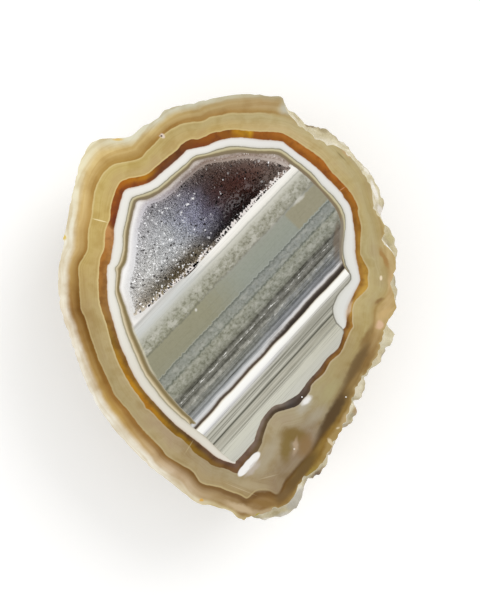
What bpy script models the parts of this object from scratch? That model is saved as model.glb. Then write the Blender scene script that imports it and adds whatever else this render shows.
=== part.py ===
"""Half of an agate nodule, cut, polished on the cut and laid on its rough back.

Metres, +Z up. The polished face is level and looks up, +Y runs along the stone, and
the origin is under the middle of the stone, at its lowest point. The outlines were
read by eye from the photograph, as pixels of its 480 x 605 frame, and from_photo()
turns them to real sizes on the polished face.
"""

import math
import random

import bmesh
import bpy
import numpy as np
from mathutils import Vector, noise
from mathutils.geometry import delaunay_2d_cdt

MM = 0.001
TINY = 1e-9

# Driving sizes of the stone.
STONE_LENGTH = 99.0 * MM  # along +Y, over the rind
STONE_DEPTH = 36.0 * MM  # from the polished face down to the lowest point of the back
GIRTH_DEPTH = 8.0 * MM  # the back starts to round in here, below the face
BASE_SHARE = 0.44  # the worn, flatter patch that it lies on, as a share of the outline
BASE_RINGS = (0.30, 0.15)  # rings of points within that patch, as shares of the outline
BASE_HOLLOW = 0.3 * MM  # they stand this far off the ground
BASE_FADE = 0.4  # how rough the rind may be for each ring of points above that patch
BACK_FALL = 0.95  # power of the back's curve downwards; 1 would be an ellipse
BACK_TAPER = 0.9  # power of its curve inwards
HEART_HEIGHT = 0.6 * STONE_DEPTH  # lumps and pits are square to lines from this point over the origin
CHIP_DEPTH = 2.6 * MM  # the chipped rind reaches its full width this far below the face
# That depth goes up and down: waves round the stone, where they start and their share of it.
CHIP_WAVES = ((3.0, 0.0, 0.35), (7.0, 1.0, 0.25))
SMOOTH_STATIONS = 5  # the back follows the outline averaged over this many stations each way

# The side, in two stretches. A row is a depth as a share of the stretch's, the share of the polished
# edge or of the averaged outline in the radius, the rest being the stone's own outline, and the roughness.
CHIPPED_SIDE = ((0.0, 1.0, 0.0), (0.35, 0.45, 0.25), (1.0, 0.0, 0.25))
GIRTH_SIDE = ((0.65, 0.15, 0.45), (1.0, 0.4, 0.7))

# The open pocket, and the crystal crust that lines it.
POCKET_DEPTH = 16.0 * MM
POCKET_STEEPNESS = 1.0  # deepest place allowed at a cross-section, as a share of its width
POCKET_ENDS = 0.9  # power of the curve by which it grows deep from both ends
WALL_SHARE = 0.24  # the deepest line, from the ledge, as a share of the width
WALL_POWER = 3.2  # superellipse power of the steep side under the ledge
BOWL_POWER = 2.1  # and of the side that rises to the rim
CRUST_GAP = 0.5 * MM
CRUST_THICKNESS = 0.9 * MM
CRUST_SLANT = 1.15  # its inset is measured along the face, where the walls slant
CRUST_END_ROOM = 1.6  # how much more room the slanting pointed ends give it
CRUST_END_POWER = 3  # and how fast that room grows towards them
CRUST_DROP = 0.3 * MM  # the crust's edge lies this far below the polished face
CRYSTAL_HEIGHTS = (0.7 * MM, 1.5 * MM)
CRYSTAL_LEAN = 0.2 * MM
CRYSTAL_ROOM = 0.17  # no crystal is higher than this share of the pocket's width beside it

# How finely the surfaces are cut into faces.
STATIONS = 140  # round the outline
DOME_RINGS = 13
POCKET_COLUMNS = 30
POCKET_LATTICE = 2.1 * MM
CRYSTAL_LATTICE = 1.1 * MM  # half the width of a crystal
CRUST_END_COLUMNS = 3  # columns left bare at each pointed end of the pocket
SIDE_STEPS = 3  # points across each end of the crust
SECTION_POINTS = 33  # on each side of a cross-section
DOT_ROOM = 0.55  # a lattice dot keeps this share of the spacing to the border
TIP_EVERY = 3  # one dot in three carries a crystal tip
WIDEST_TURN = 0.3  # a path with no wider turn between its points goes all the way round
SMOOTH_ANGLE = math.radians(40.0)  # edges sharper than this stay sharp

# Roughness of the rind: the size of the lumps and how far they stand out.
LUMPS = ((24.0 * MM, 1.7 * MM), (9.0 * MM, 1.1 * MM), (4.0 * MM, 0.5 * MM))
LUMP_LEVEL = 0.4  # noise below this goes inwards, which nearly all of it does
PIT_COUNT = 46
PIT_RADII = (1.6 * MM, 3.6 * MM)
PIT_DEPTHS = (0.4 * MM, 1.2 * MM)
PIT_FADE = 2.0  # a pit has faded out at this many radii
PIT_LIFTS = (0.05, 0.8)  # how far below PIT_TOP they lie, as shares of the depth
PIT_TOP = 0.82
PIT_REACH = 0.46 * STONE_LENGTH  # how far out they lie, at most
PIT_WIDTH = 0.82  # the stone's width as a share of its length
PIT_SEED = 11
CRYSTAL_SEED = 5

# The colours of the two plain finishes, linear, and their roughness.
AGATE_FINISH = ((0.42, 0.33, 0.17), 0.12)
QUARTZ_FINISH = ((0.38, 0.37, 0.36), 0.18)

# The outline of the whole stone, clockwise from its left tip, in photograph pixels.
PHOTO_MIDDLE = (228.7, 308.0)
PHOTO_STONE_LENGTH = 430.5
PIXEL = STONE_LENGTH / PHOTO_STONE_LENGTH
SILHOUETTE = (
    (59, 265), (64, 243), (62, 238), (66, 228), (70, 203), (74, 187), (79, 165), (84, 154),
    (90, 144), (100, 139), (118, 138), (131, 136), (143, 126), (158, 118), (166, 109),
    (188, 104), (215, 98), (245, 94), (283, 97), (290, 106), (300, 113), (310, 121),
    (325, 123), (343, 134), (351, 145), (366, 160), (377, 175), (386, 197), (387, 214),
    (396, 232), (400, 250), (399, 262), (401, 285), (398, 309), (392, 322), (399, 338),
    (388, 355), (387, 361), (373, 373), (366, 386), (367, 397), (357, 405), (361, 413),
    (355, 424), (341, 436), (337, 450), (330, 464), (323, 476), (309, 486), (303, 503),
    (293, 516), (282, 523), (258, 523), (240, 519), (227, 510), (200, 504), (186, 495),
    (170, 482), (150, 467), (134, 451), (118, 434), (107, 420), (94, 400), (85, 380),
    (77, 360), (68, 332), (61, 312), (58, 285),
)
# The polished edge on the right, where the rind stands past it; elsewhere they meet.
CHIPPED_EDGE = (
    (283, 97), (290, 114), (306, 127), (325, 138), (345, 149), (360, 168), (371, 186),
    (374, 206), (386, 229), (383, 240), (394, 255), (396, 270), (391, 285), (397, 306),
    (386, 325), (379, 352), (370, 368), (359, 383), (352, 402), (345, 424), (333, 445),
    (320, 466), (303, 480), (292, 499), (283, 506), (262, 514), (245, 518),
)
# The pocket's two sides, both from its left point to its right point.
LEDGE = ((134, 316), (148, 308), (170, 289), (190, 272), (215, 246), (243, 216), (265, 193), (291, 168))
POCKET_RIM = (
    (134, 316), (128, 295), (127, 285), (133, 262), (136, 235), (141, 215), (147, 204),
    (160, 199), (172, 191), (188, 176), (205, 163), (222, 160), (245, 156), (268, 158),
    (281, 161), (291, 168),
)


def clear_scene():
    """Remove what the scene already holds."""
    for thing in list(bpy.data.objects):
        bpy.data.objects.remove(thing)


def from_photo(points):
    """Photograph pixels as metres on the face, one row of x and y for each point."""
    return (np.array(points, dtype=float) - PHOTO_MIDDLE) * (PIXEL, -PIXEL)


def smooth_path(points, closed, steps=8):
    """A Catmull-Rom curve through the points, with some steps for each span."""
    if closed:
        rows = np.vstack((points[-1], points, points[0], points[1]))
    else:
        rows = np.vstack((2 * points[0] - points[1], points, 2 * points[-1] - points[-2]))
    spans = []
    share = np.linspace(0.0, 1.0, steps, endpoint=False)[:, None]
    for before, start, end, after in zip(rows, rows[1:], rows[2:], rows[3:]):
        bend = 2 * before - 5 * start + 4 * end - after
        twist = 3 * start - before - 3 * end + after
        spans.append(start + 0.5 * share * (end - before + share * (bend + share * twist)))
    if not closed:
        spans.append(points[-1:])
    return np.vstack(spans)


def along(path, share):
    """The point at a share, 0 to 1, of an open path's length."""
    lengths = np.linalg.norm(np.diff(path, axis=0), axis=1)
    stops = np.concatenate(([0.0], np.cumsum(lengths)))
    return np.array([np.interp(share * stops[-1], stops, path[:, axis]) for axis in (0, 1)])


def radii_at(path, angles):
    """How far a path lies from the middle at each angle, and infinity where it has none."""
    turns = np.arctan2(path[:, 1], path[:, 0])
    reach = np.hypot(path[:, 0], path[:, 1])
    order = np.argsort(turns)
    turns, reach = turns[order], reach[order]
    if np.max(np.diff(turns)) < WIDEST_TURN and turns[0] + 2 * math.pi - turns[-1] < WIDEST_TURN:
        return np.interp(angles, turns, reach, period=2 * math.pi)
    return np.interp(angles, turns, reach, left=math.inf, right=math.inf)


def outline_radii(angles):
    """The radii of the polished edge and of the whole stone at each angle."""
    stone = radii_at(smooth_path(from_photo(SILHOUETTE), closed=True), angles)
    chipped = radii_at(smooth_path(from_photo(CHIPPED_EDGE), closed=False), angles)
    return np.minimum(stone, chipped), stone


def softened(radii, reach):
    """The same outline with its small bumps averaged away."""
    window = range(-reach, reach + 1)
    return sum(np.roll(radii, shift) for shift in window) / len(window)


def make_pits():
    """Places, radii and depths of the pits in the rind."""
    draw = random.Random(PIT_SEED)
    pits = []
    for _ in range(PIT_COUNT):
        turn = draw.uniform(0.0, 2 * math.pi)
        lift = draw.uniform(*PIT_LIFTS)
        flat = math.sqrt(1.0 - lift * lift) * PIT_REACH
        east, north = flat * PIT_WIDTH * math.cos(turn), flat * math.sin(turn)
        place = Vector((east, north, STONE_DEPTH * (PIT_TOP - lift)))
        pits.append((place, draw.uniform(*PIT_RADII), draw.uniform(*PIT_DEPTHS)))
    return pits


def roughness_at(place, pits):
    """How far the rind stands out here, in metres, which is nearly everywhere below zero."""
    height = 0.0
    for size, swing in LUMPS:
        height += swing * (noise.noise(place / size) - LUMP_LEVEL)
    for centre, radius, depth in pits:
        away = (place - centre).length / (PIT_FADE * radius)
        if away < 1.0:
            height -= depth * (1.0 - away * away) ** 2
    return height


def rind_rings(angles):
    """Rings of points from the polished edge down to the patch that the stone lies on."""
    face_edge, stone = outline_radii(angles)
    core = softened(stone, SMOOTH_STATIONS)
    circle = np.column_stack((np.cos(angles), np.sin(angles)))
    level = np.ones_like(angles)
    waves = sum(swing * np.sin(count * angles + start) for count, start, swing in CHIP_WAVES)
    chip = CHIP_DEPTH * (1.0 + waves)
    pits = make_pits()

    layers = [(share * chip, edge * face_edge + (1.0 - edge) * stone, rough)
              for share, edge, rough in CHIPPED_SIDE]
    layers += [(share * GIRTH_DEPTH * level, (1.0 - soft) * stone + soft * core, rough)
               for share, soft, rough in GIRTH_SIDE]
    for step in range(1, DOME_RINGS + 1):
        turn = 0.5 * math.pi * step / DOME_RINGS
        depth = GIRTH_DEPTH + (STONE_DEPTH - GIRTH_DEPTH) * math.sin(turn) ** BACK_FALL
        share = BASE_SHARE + (1.0 - BASE_SHARE) * max(math.cos(turn), 0.0) ** BACK_TAPER
        layers.append((depth * level, share * core, min(1.0, BASE_FADE * (DOME_RINGS - step))))
    layers += [((STONE_DEPTH - BASE_HOLLOW) * level, share * core, 0.0) for share in BASE_RINGS]

    heart = Vector((0.0, 0.0, HEART_HEIGHT))
    rings = []
    for depths, radii, rough in layers:
        ring = []
        for depth, radius, (east, north) in zip(depths, radii, circle):
            place = Vector((radius * east, radius * north, STONE_DEPTH - depth))
            place += (place - heart).normalized() * rough * roughness_at(place, pits)
            ring.append(place)
        rings.append(ring)
    return rings


def inside(point, loop):
    """Whether a flat point is within a closed loop of flat points."""
    hit = False
    for (x0, y0), (x1, y1) in zip(loop, np.roll(loop, -1, axis=0)):
        if (y0 > point[1]) != (y1 > point[1]) and point[0] < x0 + (point[1] - y0) * (x1 - x0) / (y1 - y0):
            hit = not hit
    return hit


def fill(loops, dots=()):
    """Triangles over the first loop, with holes for the others, using every dot within.

    The corners are numbered through the loops and then the dots, in order.
    """
    corners = [Vector(point) for loop in loops for point in loop]
    edges = []
    for loop in loops:
        first = len(edges)
        edges += [(first + step, first + (step + 1) % len(loop)) for step in range(len(loop))]
    corners += [Vector(dot) for dot in dots]
    places, _, faces, sources, _, _ = delaunay_2d_cdt(corners, edges, [], 0, TINY)
    if len(places) != len(corners):
        raise ValueError("two corners of a filled region fall on each other")
    kept = []
    for face in faces:
        middle = sum((places[corner] for corner in face), Vector((0.0, 0.0))) / len(face)
        if inside(middle, loops[0]) and not any(inside(middle, hole) for hole in loops[1:]):
            kept.append([sources[corner][0] for corner in face])
    return kept


class Pocket:
    """The open pocket. A place in it has a share along the ledge and a share across.

    Across runs from the ledge, 0, down the steep side and up the bowl to the rim, 1.
    Flat places are metres along the ledge and metres over the surface.
    """

    def __init__(self):
        self.ledge = smooth_path(from_photo(LEDGE), closed=False)
        self.rim = smooth_path(from_photo(POCKET_RIM), closed=False)
        self.length = np.linalg.norm(self.ledge[-1] - self.ledge[0])
        self.sides = {}

    def section(self, share, inset):
        """Start, direction, distances and depths of a cross-section."""
        key = (round(share, 6), inset)
        if key not in self.sides:
            start, end = along(self.ledge, share), along(self.rim, share)
            full = np.linalg.norm(end - start)
            towards = (end - start) / max(full, TINY)
            depth = min(POCKET_DEPTH * math.sin(math.pi * share) ** POCKET_ENDS, POCKET_STEEPNESS * full)
            slanted = inset * (CRUST_SLANT + CRUST_END_ROOM * abs(2.0 * share - 1.0) ** CRUST_END_POWER)
            width = full - 2.0 * slanted
            depth -= slanted + (CRUST_DROP if inset else 0.0)
            turn = np.linspace(0.0, 0.5 * math.pi, SECTION_POINTS)
            steep, bowl = WALL_SHARE * width, (1.0 - WALL_SHARE) * width
            down = (steep * (1.0 - np.cos(turn) ** (2 / WALL_POWER)), np.sin(turn) ** (2 / WALL_POWER))
            up = (steep + bowl * np.cos(turn) ** (2 / BOWL_POWER), np.sin(turn) ** (2 / BOWL_POWER))
            across = np.concatenate((down[0], up[0][-2::-1]))
            depths = depth * np.concatenate((down[1], up[1][-2::-1]))
            steps = np.hypot(np.diff(across), np.diff(depths))
            stops = np.concatenate(([0.0], np.cumsum(steps)))
            self.sides[key] = (start + towards * slanted, towards, across, depths, stops)
        return self.sides[key]

    def place(self, share, over, inset):
        """The point at a share along the ledge and a share over the surface."""
        start, towards, across, depths, stops = self.section(share, inset)
        stop = over * stops[-1]
        flat = start + towards * np.interp(stop, stops, across)
        top = STONE_DEPTH - (CRUST_DROP if inset else 0.0)
        return Vector((flat[0], flat[1], top - np.interp(stop, stops, depths)))

    def outward(self, share, over, inset):
        """The direction from the surface into the open pocket."""
        step = 0.01
        low, high = max(share - step, 0.0), min(share + step, 1.0)
        near, far = max(over - step, 0.0), min(over + step, 1.0)
        ahead = self.place(high, over, inset) - self.place(low, over, inset)
        across = self.place(share, far, inset) - self.place(share, near, inset)
        return ahead.cross(across).normalized()

    def width(self, share, inset):
        """How wide the open pocket is at a share along the ledge."""
        return self.section(share, inset)[2][-1]

    def flat(self, share, over):
        """Where a place lies on the surface when it is rolled out flat."""
        return np.array((share * self.length, over * self.section(share, 0.0)[4][-1]))

    def shares(self, spot):
        """The shares along and over at a rolled-out place."""
        share = min(max(spot[0] / self.length, 0.0), 1.0)
        return share, spot[1] / max(self.section(share, 0.0)[4][-1], TINY)

    def border(self, skipped):
        """Shares round the surface, leaving out some columns at both pointed ends."""
        columns = [step / POCKET_COLUMNS for step in range(skipped, POCKET_COLUMNS - skipped + 1)]
        sides = [(step + 1) / (SIDE_STEPS + 1) for step in range(SIDE_STEPS)] if skipped else []
        ends = columns if skipped else columns[1:-1]
        shares = [(share, 0.0) for share in columns]
        shares += [(columns[-1], over) for over in sides]
        shares += [(share, 1.0) for share in reversed(ends)]
        shares += [(columns[0], over) for over in reversed(sides)]
        return shares


def lattice_dots(loop, spacing):
    """A triangular lattice within a rolled-out loop, and which dots are crystal tips."""
    low, high = loop.min(axis=0), loop.max(axis=0)
    row_height = spacing * math.sqrt(0.75)
    rows = int((high[1] - low[1]) / row_height) + 1
    columns = int((high[0] - low[0]) / spacing) + rows + 1
    dots, tips = [], []
    for row in range(rows):
        for column in range(-rows, columns):
            spot = np.array(((column + 0.5 * row) * spacing, (row + 0.5) * row_height))
            nearest = np.min(np.linalg.norm(loop - spot, axis=1))
            if inside(spot, loop) and nearest >= DOT_ROOM * spacing:
                dots.append(spot)
                tips.append((column - row) % TIP_EVERY == 0)
    return dots, tips


def pocket_surface(pocket, border, spacing):
    """Triangles over the pocket's surface, with the shares of every corner and the tips."""
    loop = np.array([pocket.flat(*shares) for shares in border])
    dots, tips = lattice_dots(loop, spacing)
    corners = list(border) + [pocket.shares(dot) for dot in dots]
    return fill([loop], dots), corners, [False] * len(border) + tips


def add_object(name, mesh_parts, material, smooth_angle):
    """A closed body from its points and faces, with its material, in the scene."""
    points, faces = mesh_parts
    shape = bmesh.new()
    corners = [shape.verts.new(point) for point in points]
    for face in faces:
        shape.faces.new([corners[corner] for corner in face])
    bmesh.ops.recalc_face_normals(shape, faces=shape.faces)
    bmesh.ops.triangulate(shape, faces=shape.faces)
    mesh = bpy.data.meshes.new(name)
    shape.to_mesh(mesh)
    shape.free()
    if smooth_angle:
        mesh.shade_smooth()
        mesh.set_sharp_from_angle(angle=smooth_angle)
    mesh.materials.append(material)
    body = bpy.data.objects.new(name, mesh)
    bpy.context.scene.collection.objects.link(body)
    return body


def make_material(name, colour, roughness):
    """A plain Principled material of one linear colour."""
    material = bpy.data.materials.new(name)
    material.use_nodes = True
    shader = material.node_tree.nodes["Principled BSDF"]
    shader.inputs["Base Color"].default_value = (*colour, 1.0)
    shader.inputs["Roughness"].default_value = roughness
    shader.inputs["Metallic"].default_value = 0.0
    return material


def agate_mesh(pocket):
    """The stone: rough rind, base, polished face and the wall of its pocket."""
    angles = np.linspace(-math.pi, math.pi, STATIONS, endpoint=False)
    rings = rind_rings(angles)
    points = [place for ring in rings for place in ring]
    faces = []
    for ring in range(len(rings) - 1):
        for step in range(STATIONS):
            after = (step + 1) % STATIONS
            upper, lower = ring * STATIONS, (ring + 1) * STATIONS
            faces.append((upper + step, upper + after, lower + after, lower + step))
    last = (len(rings) - 1) * STATIONS
    points.append(Vector((0.0, 0.0, BASE_HOLLOW)))
    faces += [(last + step, last + (step + 1) % STATIONS, len(points) - 1) for step in range(STATIONS)]

    border = pocket.border(0)
    surface, corners, _ = pocket_surface(pocket, border, POCKET_LATTICE)
    first = len(points)
    points += [pocket.place(share, over, 0.0) for share, over in corners]
    faces += [tuple(first + corner for corner in face) for face in surface]

    edge = [place.xy for place in rings[0]]
    hole = [points[first + step].xy for step in range(len(border))]
    for face in fill([np.array(edge), np.array(hole)]):
        faces.append(tuple(step if step < STATIONS else first + step - STATIONS for step in face))
    return points, faces


def druse_mesh(pocket):
    """The crust: a smooth back that follows the pocket, and a front of crystal points."""
    draw = random.Random(CRYSTAL_SEED)
    border = pocket.border(CRUST_END_COLUMNS)
    back_faces, back_corners, _ = pocket_surface(pocket, border, POCKET_LATTICE)
    front_faces, front_corners, tips = pocket_surface(pocket, border, CRYSTAL_LATTICE)

    points = [pocket.place(share, over, CRUST_GAP) for share, over in back_corners]
    faces = [tuple(face) for face in back_faces]
    first = len(points)
    inset = CRUST_GAP + CRUST_THICKNESS
    for (share, over), is_tip in zip(front_corners, tips):
        place = pocket.place(share, over, inset)
        if is_tip:
            lean = Vector((draw.uniform(-1, 1), draw.uniform(-1, 1), draw.uniform(-1, 0))) * CRYSTAL_LEAN
            room = CRYSTAL_ROOM * pocket.width(share, inset)
            height = min(draw.uniform(*CRYSTAL_HEIGHTS), room)
            place += pocket.outward(share, over, inset) * height + lean
            place.z = min(place.z, STONE_DEPTH - CRUST_DROP)
        points.append(place)
    faces += [tuple(first + corner for corner in face) for face in front_faces]
    for step in range(len(border)):
        after = (step + 1) % len(border)
        faces.append((step, after, first + after, first + step))
    return points, faces


def main():
    """Build the stone and its crystal crust."""
    clear_scene()
    pocket = Pocket()
    agate = make_material("polished_agate", *AGATE_FINISH)
    quartz = make_material("quartz_crystals", *QUARTZ_FINISH)
    add_object("agate_nodule", agate_mesh(pocket), agate, SMOOTH_ANGLE)
    add_object("quartz_druse", druse_mesh(pocket), quartz, 0.0)


main()
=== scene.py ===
"""The looks of half an agate nodule, cut, polished and laid on its rough back.

The polished face is level and looks up. Its rings follow outlines that were read from
the photograph, in pixels of its 480 x 605 frame, and PhotoScale turns a pixel to metres on
the face. Every point of the face carries its distance to each outline, in millimetres, and
the material paints the rings from those distances.
"""

import logging
import math
import random
from dataclasses import dataclass, field
from enum import Enum
from functools import partial
from typing import Any, Iterable, Sequence

import bmesh
import bpy
import numpy as np
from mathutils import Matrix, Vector, noise
from mathutils.geometry import delaunay_2d_cdt


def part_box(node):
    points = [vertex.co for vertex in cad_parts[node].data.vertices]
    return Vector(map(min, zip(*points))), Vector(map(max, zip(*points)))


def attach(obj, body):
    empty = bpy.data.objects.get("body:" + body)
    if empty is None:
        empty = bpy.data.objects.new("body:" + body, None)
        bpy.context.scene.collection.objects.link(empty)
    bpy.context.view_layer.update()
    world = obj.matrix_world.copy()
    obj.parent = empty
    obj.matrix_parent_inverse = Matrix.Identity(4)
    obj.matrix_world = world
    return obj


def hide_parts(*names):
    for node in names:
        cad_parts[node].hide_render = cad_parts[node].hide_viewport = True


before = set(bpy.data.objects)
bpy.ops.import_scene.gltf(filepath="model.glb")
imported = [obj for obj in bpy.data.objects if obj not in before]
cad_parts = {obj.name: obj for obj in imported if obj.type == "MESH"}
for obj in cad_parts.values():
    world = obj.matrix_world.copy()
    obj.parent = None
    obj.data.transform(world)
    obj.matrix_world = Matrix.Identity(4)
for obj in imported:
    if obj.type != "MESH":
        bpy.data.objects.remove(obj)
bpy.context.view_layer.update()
LOG = logging.getLogger("agate_nodule")

MM = 0.001
Pixels = Sequence[tuple[float, float]]

# Outlines on the photograph, clockwise from the left tip.
SILHOUETTE: Pixels = (
    (59, 265), (64, 243), (62, 238), (66, 228), (70, 203), (74, 187), (79, 165), (84, 154), (90, 144),
    (100, 139), (118, 138), (131, 136), (143, 126), (158, 118), (166, 109), (188, 104), (215, 98),
    (245, 94), (283, 97), (290, 106), (300, 113), (310, 121), (325, 123), (343, 134), (351, 145),
    (366, 160), (377, 175), (386, 197), (387, 214), (396, 232), (400, 250), (399, 262), (401, 285),
    (398, 309), (392, 322), (399, 338), (388, 355), (387, 361), (373, 373), (366, 386), (367, 397),
    (357, 405), (361, 413), (355, 424), (341, 436), (337, 450), (330, 464), (323, 476), (309, 486),
    (303, 503), (293, 516), (282, 523), (258, 523), (240, 519), (227, 510), (200, 504), (186, 495),
    (170, 482), (150, 467), (134, 451), (118, 434), (107, 420), (94, 400), (85, 380), (77, 360), (68, 332),
    (61, 312), (58, 285),
)
CHIPPED_EDGE: Pixels = (
    (283, 97), (288, 113), (304, 128), (320, 140), (338, 147), (350, 156), (360, 169), (371, 186),
    (374, 206), (386, 229), (383, 240), (394, 255), (396, 270), (391, 285), (397, 306), (386, 325),
    (379, 352), (370, 368), (359, 383), (352, 402), (345, 424), (333, 445), (320, 466), (303, 480),
    (292, 499), (283, 506), (262, 514), (245, 518),
)
LEDGE: Pixels = (
    (134, 316), (148, 308), (170, 289), (190, 272), (215, 246), (243, 216), (265, 193), (291, 168),
)
POCKET_RIM: Pixels = (
    (134, 316), (128, 295), (127, 285), (133, 262), (136, 235), (141, 215), (147, 204), (160, 199),
    (172, 191), (188, 176), (205, 163), (222, 160), (245, 156), (268, 158), (281, 161), (291, 168),
)
KHAKI_EDGE: Pixels = (
    (79, 265), (87, 250), (88, 230), (91, 218), (93, 200), (95, 190), (99, 180), (106, 170), (115, 164),
    (130, 161), (140, 158), (147, 151), (156, 142), (163, 135), (173, 128), (185, 123), (203, 121),
    (210, 117), (222, 115), (230, 113), (250, 113), (265, 113), (290, 118), (300, 124), (320, 132),
    (340, 150), (352, 165), (362, 180), (368, 200), (375, 220), (379, 240), (382, 262), (385, 272),
    (387, 285), (383, 295), (373, 307), (371, 325), (367, 340), (358, 355), (351, 370), (343, 386),
    (333, 405), (325, 422), (318, 436), (307, 454), (294, 470), (284, 482), (278, 494), (270, 491),
    (262, 490), (255, 492), (247, 498.5), (240, 495), (228, 491), (218, 487), (203, 484), (197, 478),
    (192, 471), (180, 464), (166, 455), (160, 447), (143, 430), (130, 413), (118, 399), (113, 392),
    (109, 382), (100, 363), (97, 355), (91, 338), (88, 328), (85, 318), (81, 310), (80, 300), (79, 280),
)
ORANGE_EDGE: Pixels = (
    (100, 260), (104, 250), (105.5, 232), (110, 218), (110.5, 210), (114, 195), (117, 188), (121, 182),
    (130, 178), (143, 176), (150, 172), (162, 162), (168, 157), (178, 149), (181, 145), (190, 139.5),
    (198, 139), (205, 136.5), (212, 133), (220, 131.5), (232, 129.5), (250, 131), (270, 132), (280, 132.5),
    (288, 136), (302, 145), (318, 156), (325, 163), (330, 170), (346, 187), (352, 195), (358, 207),
    (358, 213), (361, 228), (360, 250), (362, 258), (368, 270), (367.5, 278), (368, 287), (360, 296),
    (356, 300), (353, 306), (352, 320), (353, 326), (350, 331), (345, 343), (340, 353), (330, 362),
    (324, 373), (316, 380), (311, 386), (310, 391), (302, 401), (298, 405), (292, 408), (278, 412),
    (272, 417), (268, 423), (263, 437), (261, 445), (253, 457), (241, 470), (237, 473.5), (226, 469),
    (212, 465.5), (207, 461), (195, 453), (190, 447), (182, 439), (175, 435), (160, 421), (150, 410),
    (146, 408), (143, 402), (131, 386), (122, 370), (119, 364), (112, 345), (107, 326), (101, 308),
    (99.5, 300), (98.5, 280),
)
WHITE_EDGE_TOP: Pixels = (
    (110, 262), (113.5, 240), (114, 230), (117, 215), (121, 200), (125, 190), (138, 186), (150, 182),
    (161, 173), (173, 163), (185, 152), (190, 149), (205, 146), (220, 140), (240, 137.5), (260, 139.5),
    (280, 141), (287, 145), (300, 155), (315, 166), (328, 179), (341, 192), (345, 199), (350, 206),
    (353, 220), (355, 238), (356, 256), (360, 277), (359, 284), (353, 296), (347.5, 310), (346, 325),
)
WHITE_EDGE_LOW: Pixels = (
    (343, 330), (342, 337), (338, 348), (328, 357), (323, 363), (319, 369), (309, 380), (300, 392),
    (295, 396), (283, 403), (276, 405), (270, 409), (261, 421), (255, 437), (253, 442), (242, 455),
    (236, 461),
)
WHITE_EDGE_LEFT: Pixels = (
    (234, 463.5), (218, 458), (205, 448), (190, 436), (177.5, 426.5), (166.3, 415.5), (155, 403.5),
    (143.5, 390.5), (133, 374), (126, 358), (122, 350), (117, 335), (112, 318), (108, 303), (107, 285),
    (107, 267),
)
CREAM_EDGE_TOP: Pixels = (
    (119, 262), (122.5, 248), (123, 233), (126, 220), (129, 205), (131, 199), (134, 196.5), (146, 192.5),
    (158, 187), (172, 175), (183, 166), (189, 160.5), (195, 155.5), (207, 153), (220, 148.5), (233, 146),
    (257, 148), (277, 148.5), (284, 151), (297, 161), (311, 172), (323, 186), (334, 197), (343, 210),
    (345.5, 225), (343, 248), (345, 263), (350.5, 276), (349, 282), (339, 293), (333.5, 305), (333, 312),
    (336, 322),
)
CREAM_EDGE_LEFT: Pixels = (
    (232, 461), (225.5, 456), (217, 448.5), (205.5, 437), (190.5, 425), (178, 415), (164.7, 402.3),
    (153.5, 388), (143.6, 374), (135.8, 357), (128.6, 340), (122.8, 323), (119, 307), (115, 292),
    (116, 275), (115, 268),
)
HEART_EDGE_TOP: Pixels = (
    (126, 262), (128, 248), (129.5, 230), (133, 214), (135, 207), (138, 201), (150, 198.5), (161, 192),
    (172, 183), (182, 174), (188, 169), (192, 164), (197, 160.5), (211, 157.5), (225, 155), (240, 153),
    (260, 154), (277, 155), (289, 163), (302, 173), (314, 184), (325, 196), (336, 210), (341, 225),
    (341, 233), (339.5, 250), (343, 265),
)
HEART_EDGE_LEFT: Pixels = (
    (196, 423), (182, 409), (168, 393), (156, 377), (150, 369), (142, 350), (134, 333), (131, 322),
    (125, 305), (120, 290), (120.5, 280), (122, 270),
)
# The heart's outline leaves the cream one where these two stretches begin.
CREAM_EDGE_PINCH: Pixels = CREAM_EDGE_TOP[-6:]
CREAM_EDGE_FOOT: Pixels = CREAM_EDGE_LEFT[:5]


@dataclass(frozen=True)
class PhotoScale:
    """How a pixel of the photograph lands on the polished face."""

    middle: tuple[float, float] = (228.7, 308.0)
    stone_length: float = 99.0 * MM
    stone_length_px: float = 430.5
    frame: tuple[int, int] = (480, 605)

    @property
    def pixel(self) -> float:
        """The size of a pixel on the face, in metres."""
        return self.stone_length / self.stone_length_px

    def flat(self, points: Pixels) -> np.ndarray:
        """Turn pixels to metres on the face.

        Args:
            points: pixels of the photograph.

        Returns:
            One row of x and y for each point.
        """
        return (np.array(points, dtype=float) - self.middle) * (self.pixel, -self.pixel)


PHOTO = PhotoScale()
PIXEL_MM = PHOTO.pixel / MM
LEDGE_TURN = math.radians(46.0)  # the ledge and the level layers run up to the right
LEDGE_MIDDLE = (212.5, 245.0)  # a pixel of the photograph


def linear(colour: str) -> tuple[float, float, float, float]:
    """Turn an sRGB hex colour to the linear one that shaders take.

    Args:
        colour: such as "#c2ad70".

    Returns:
        Red, green, blue and an alpha of 1.
    """
    parts = [int(colour[start:start + 2], 16) / 255 for start in (1, 3, 5)]
    red, green, blue = (p / 12.92 if p <= 0.04045 else ((p + 0.055) / 1.055) ** 2.4 for p in parts)
    return red, green, blue, 1.0


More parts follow.
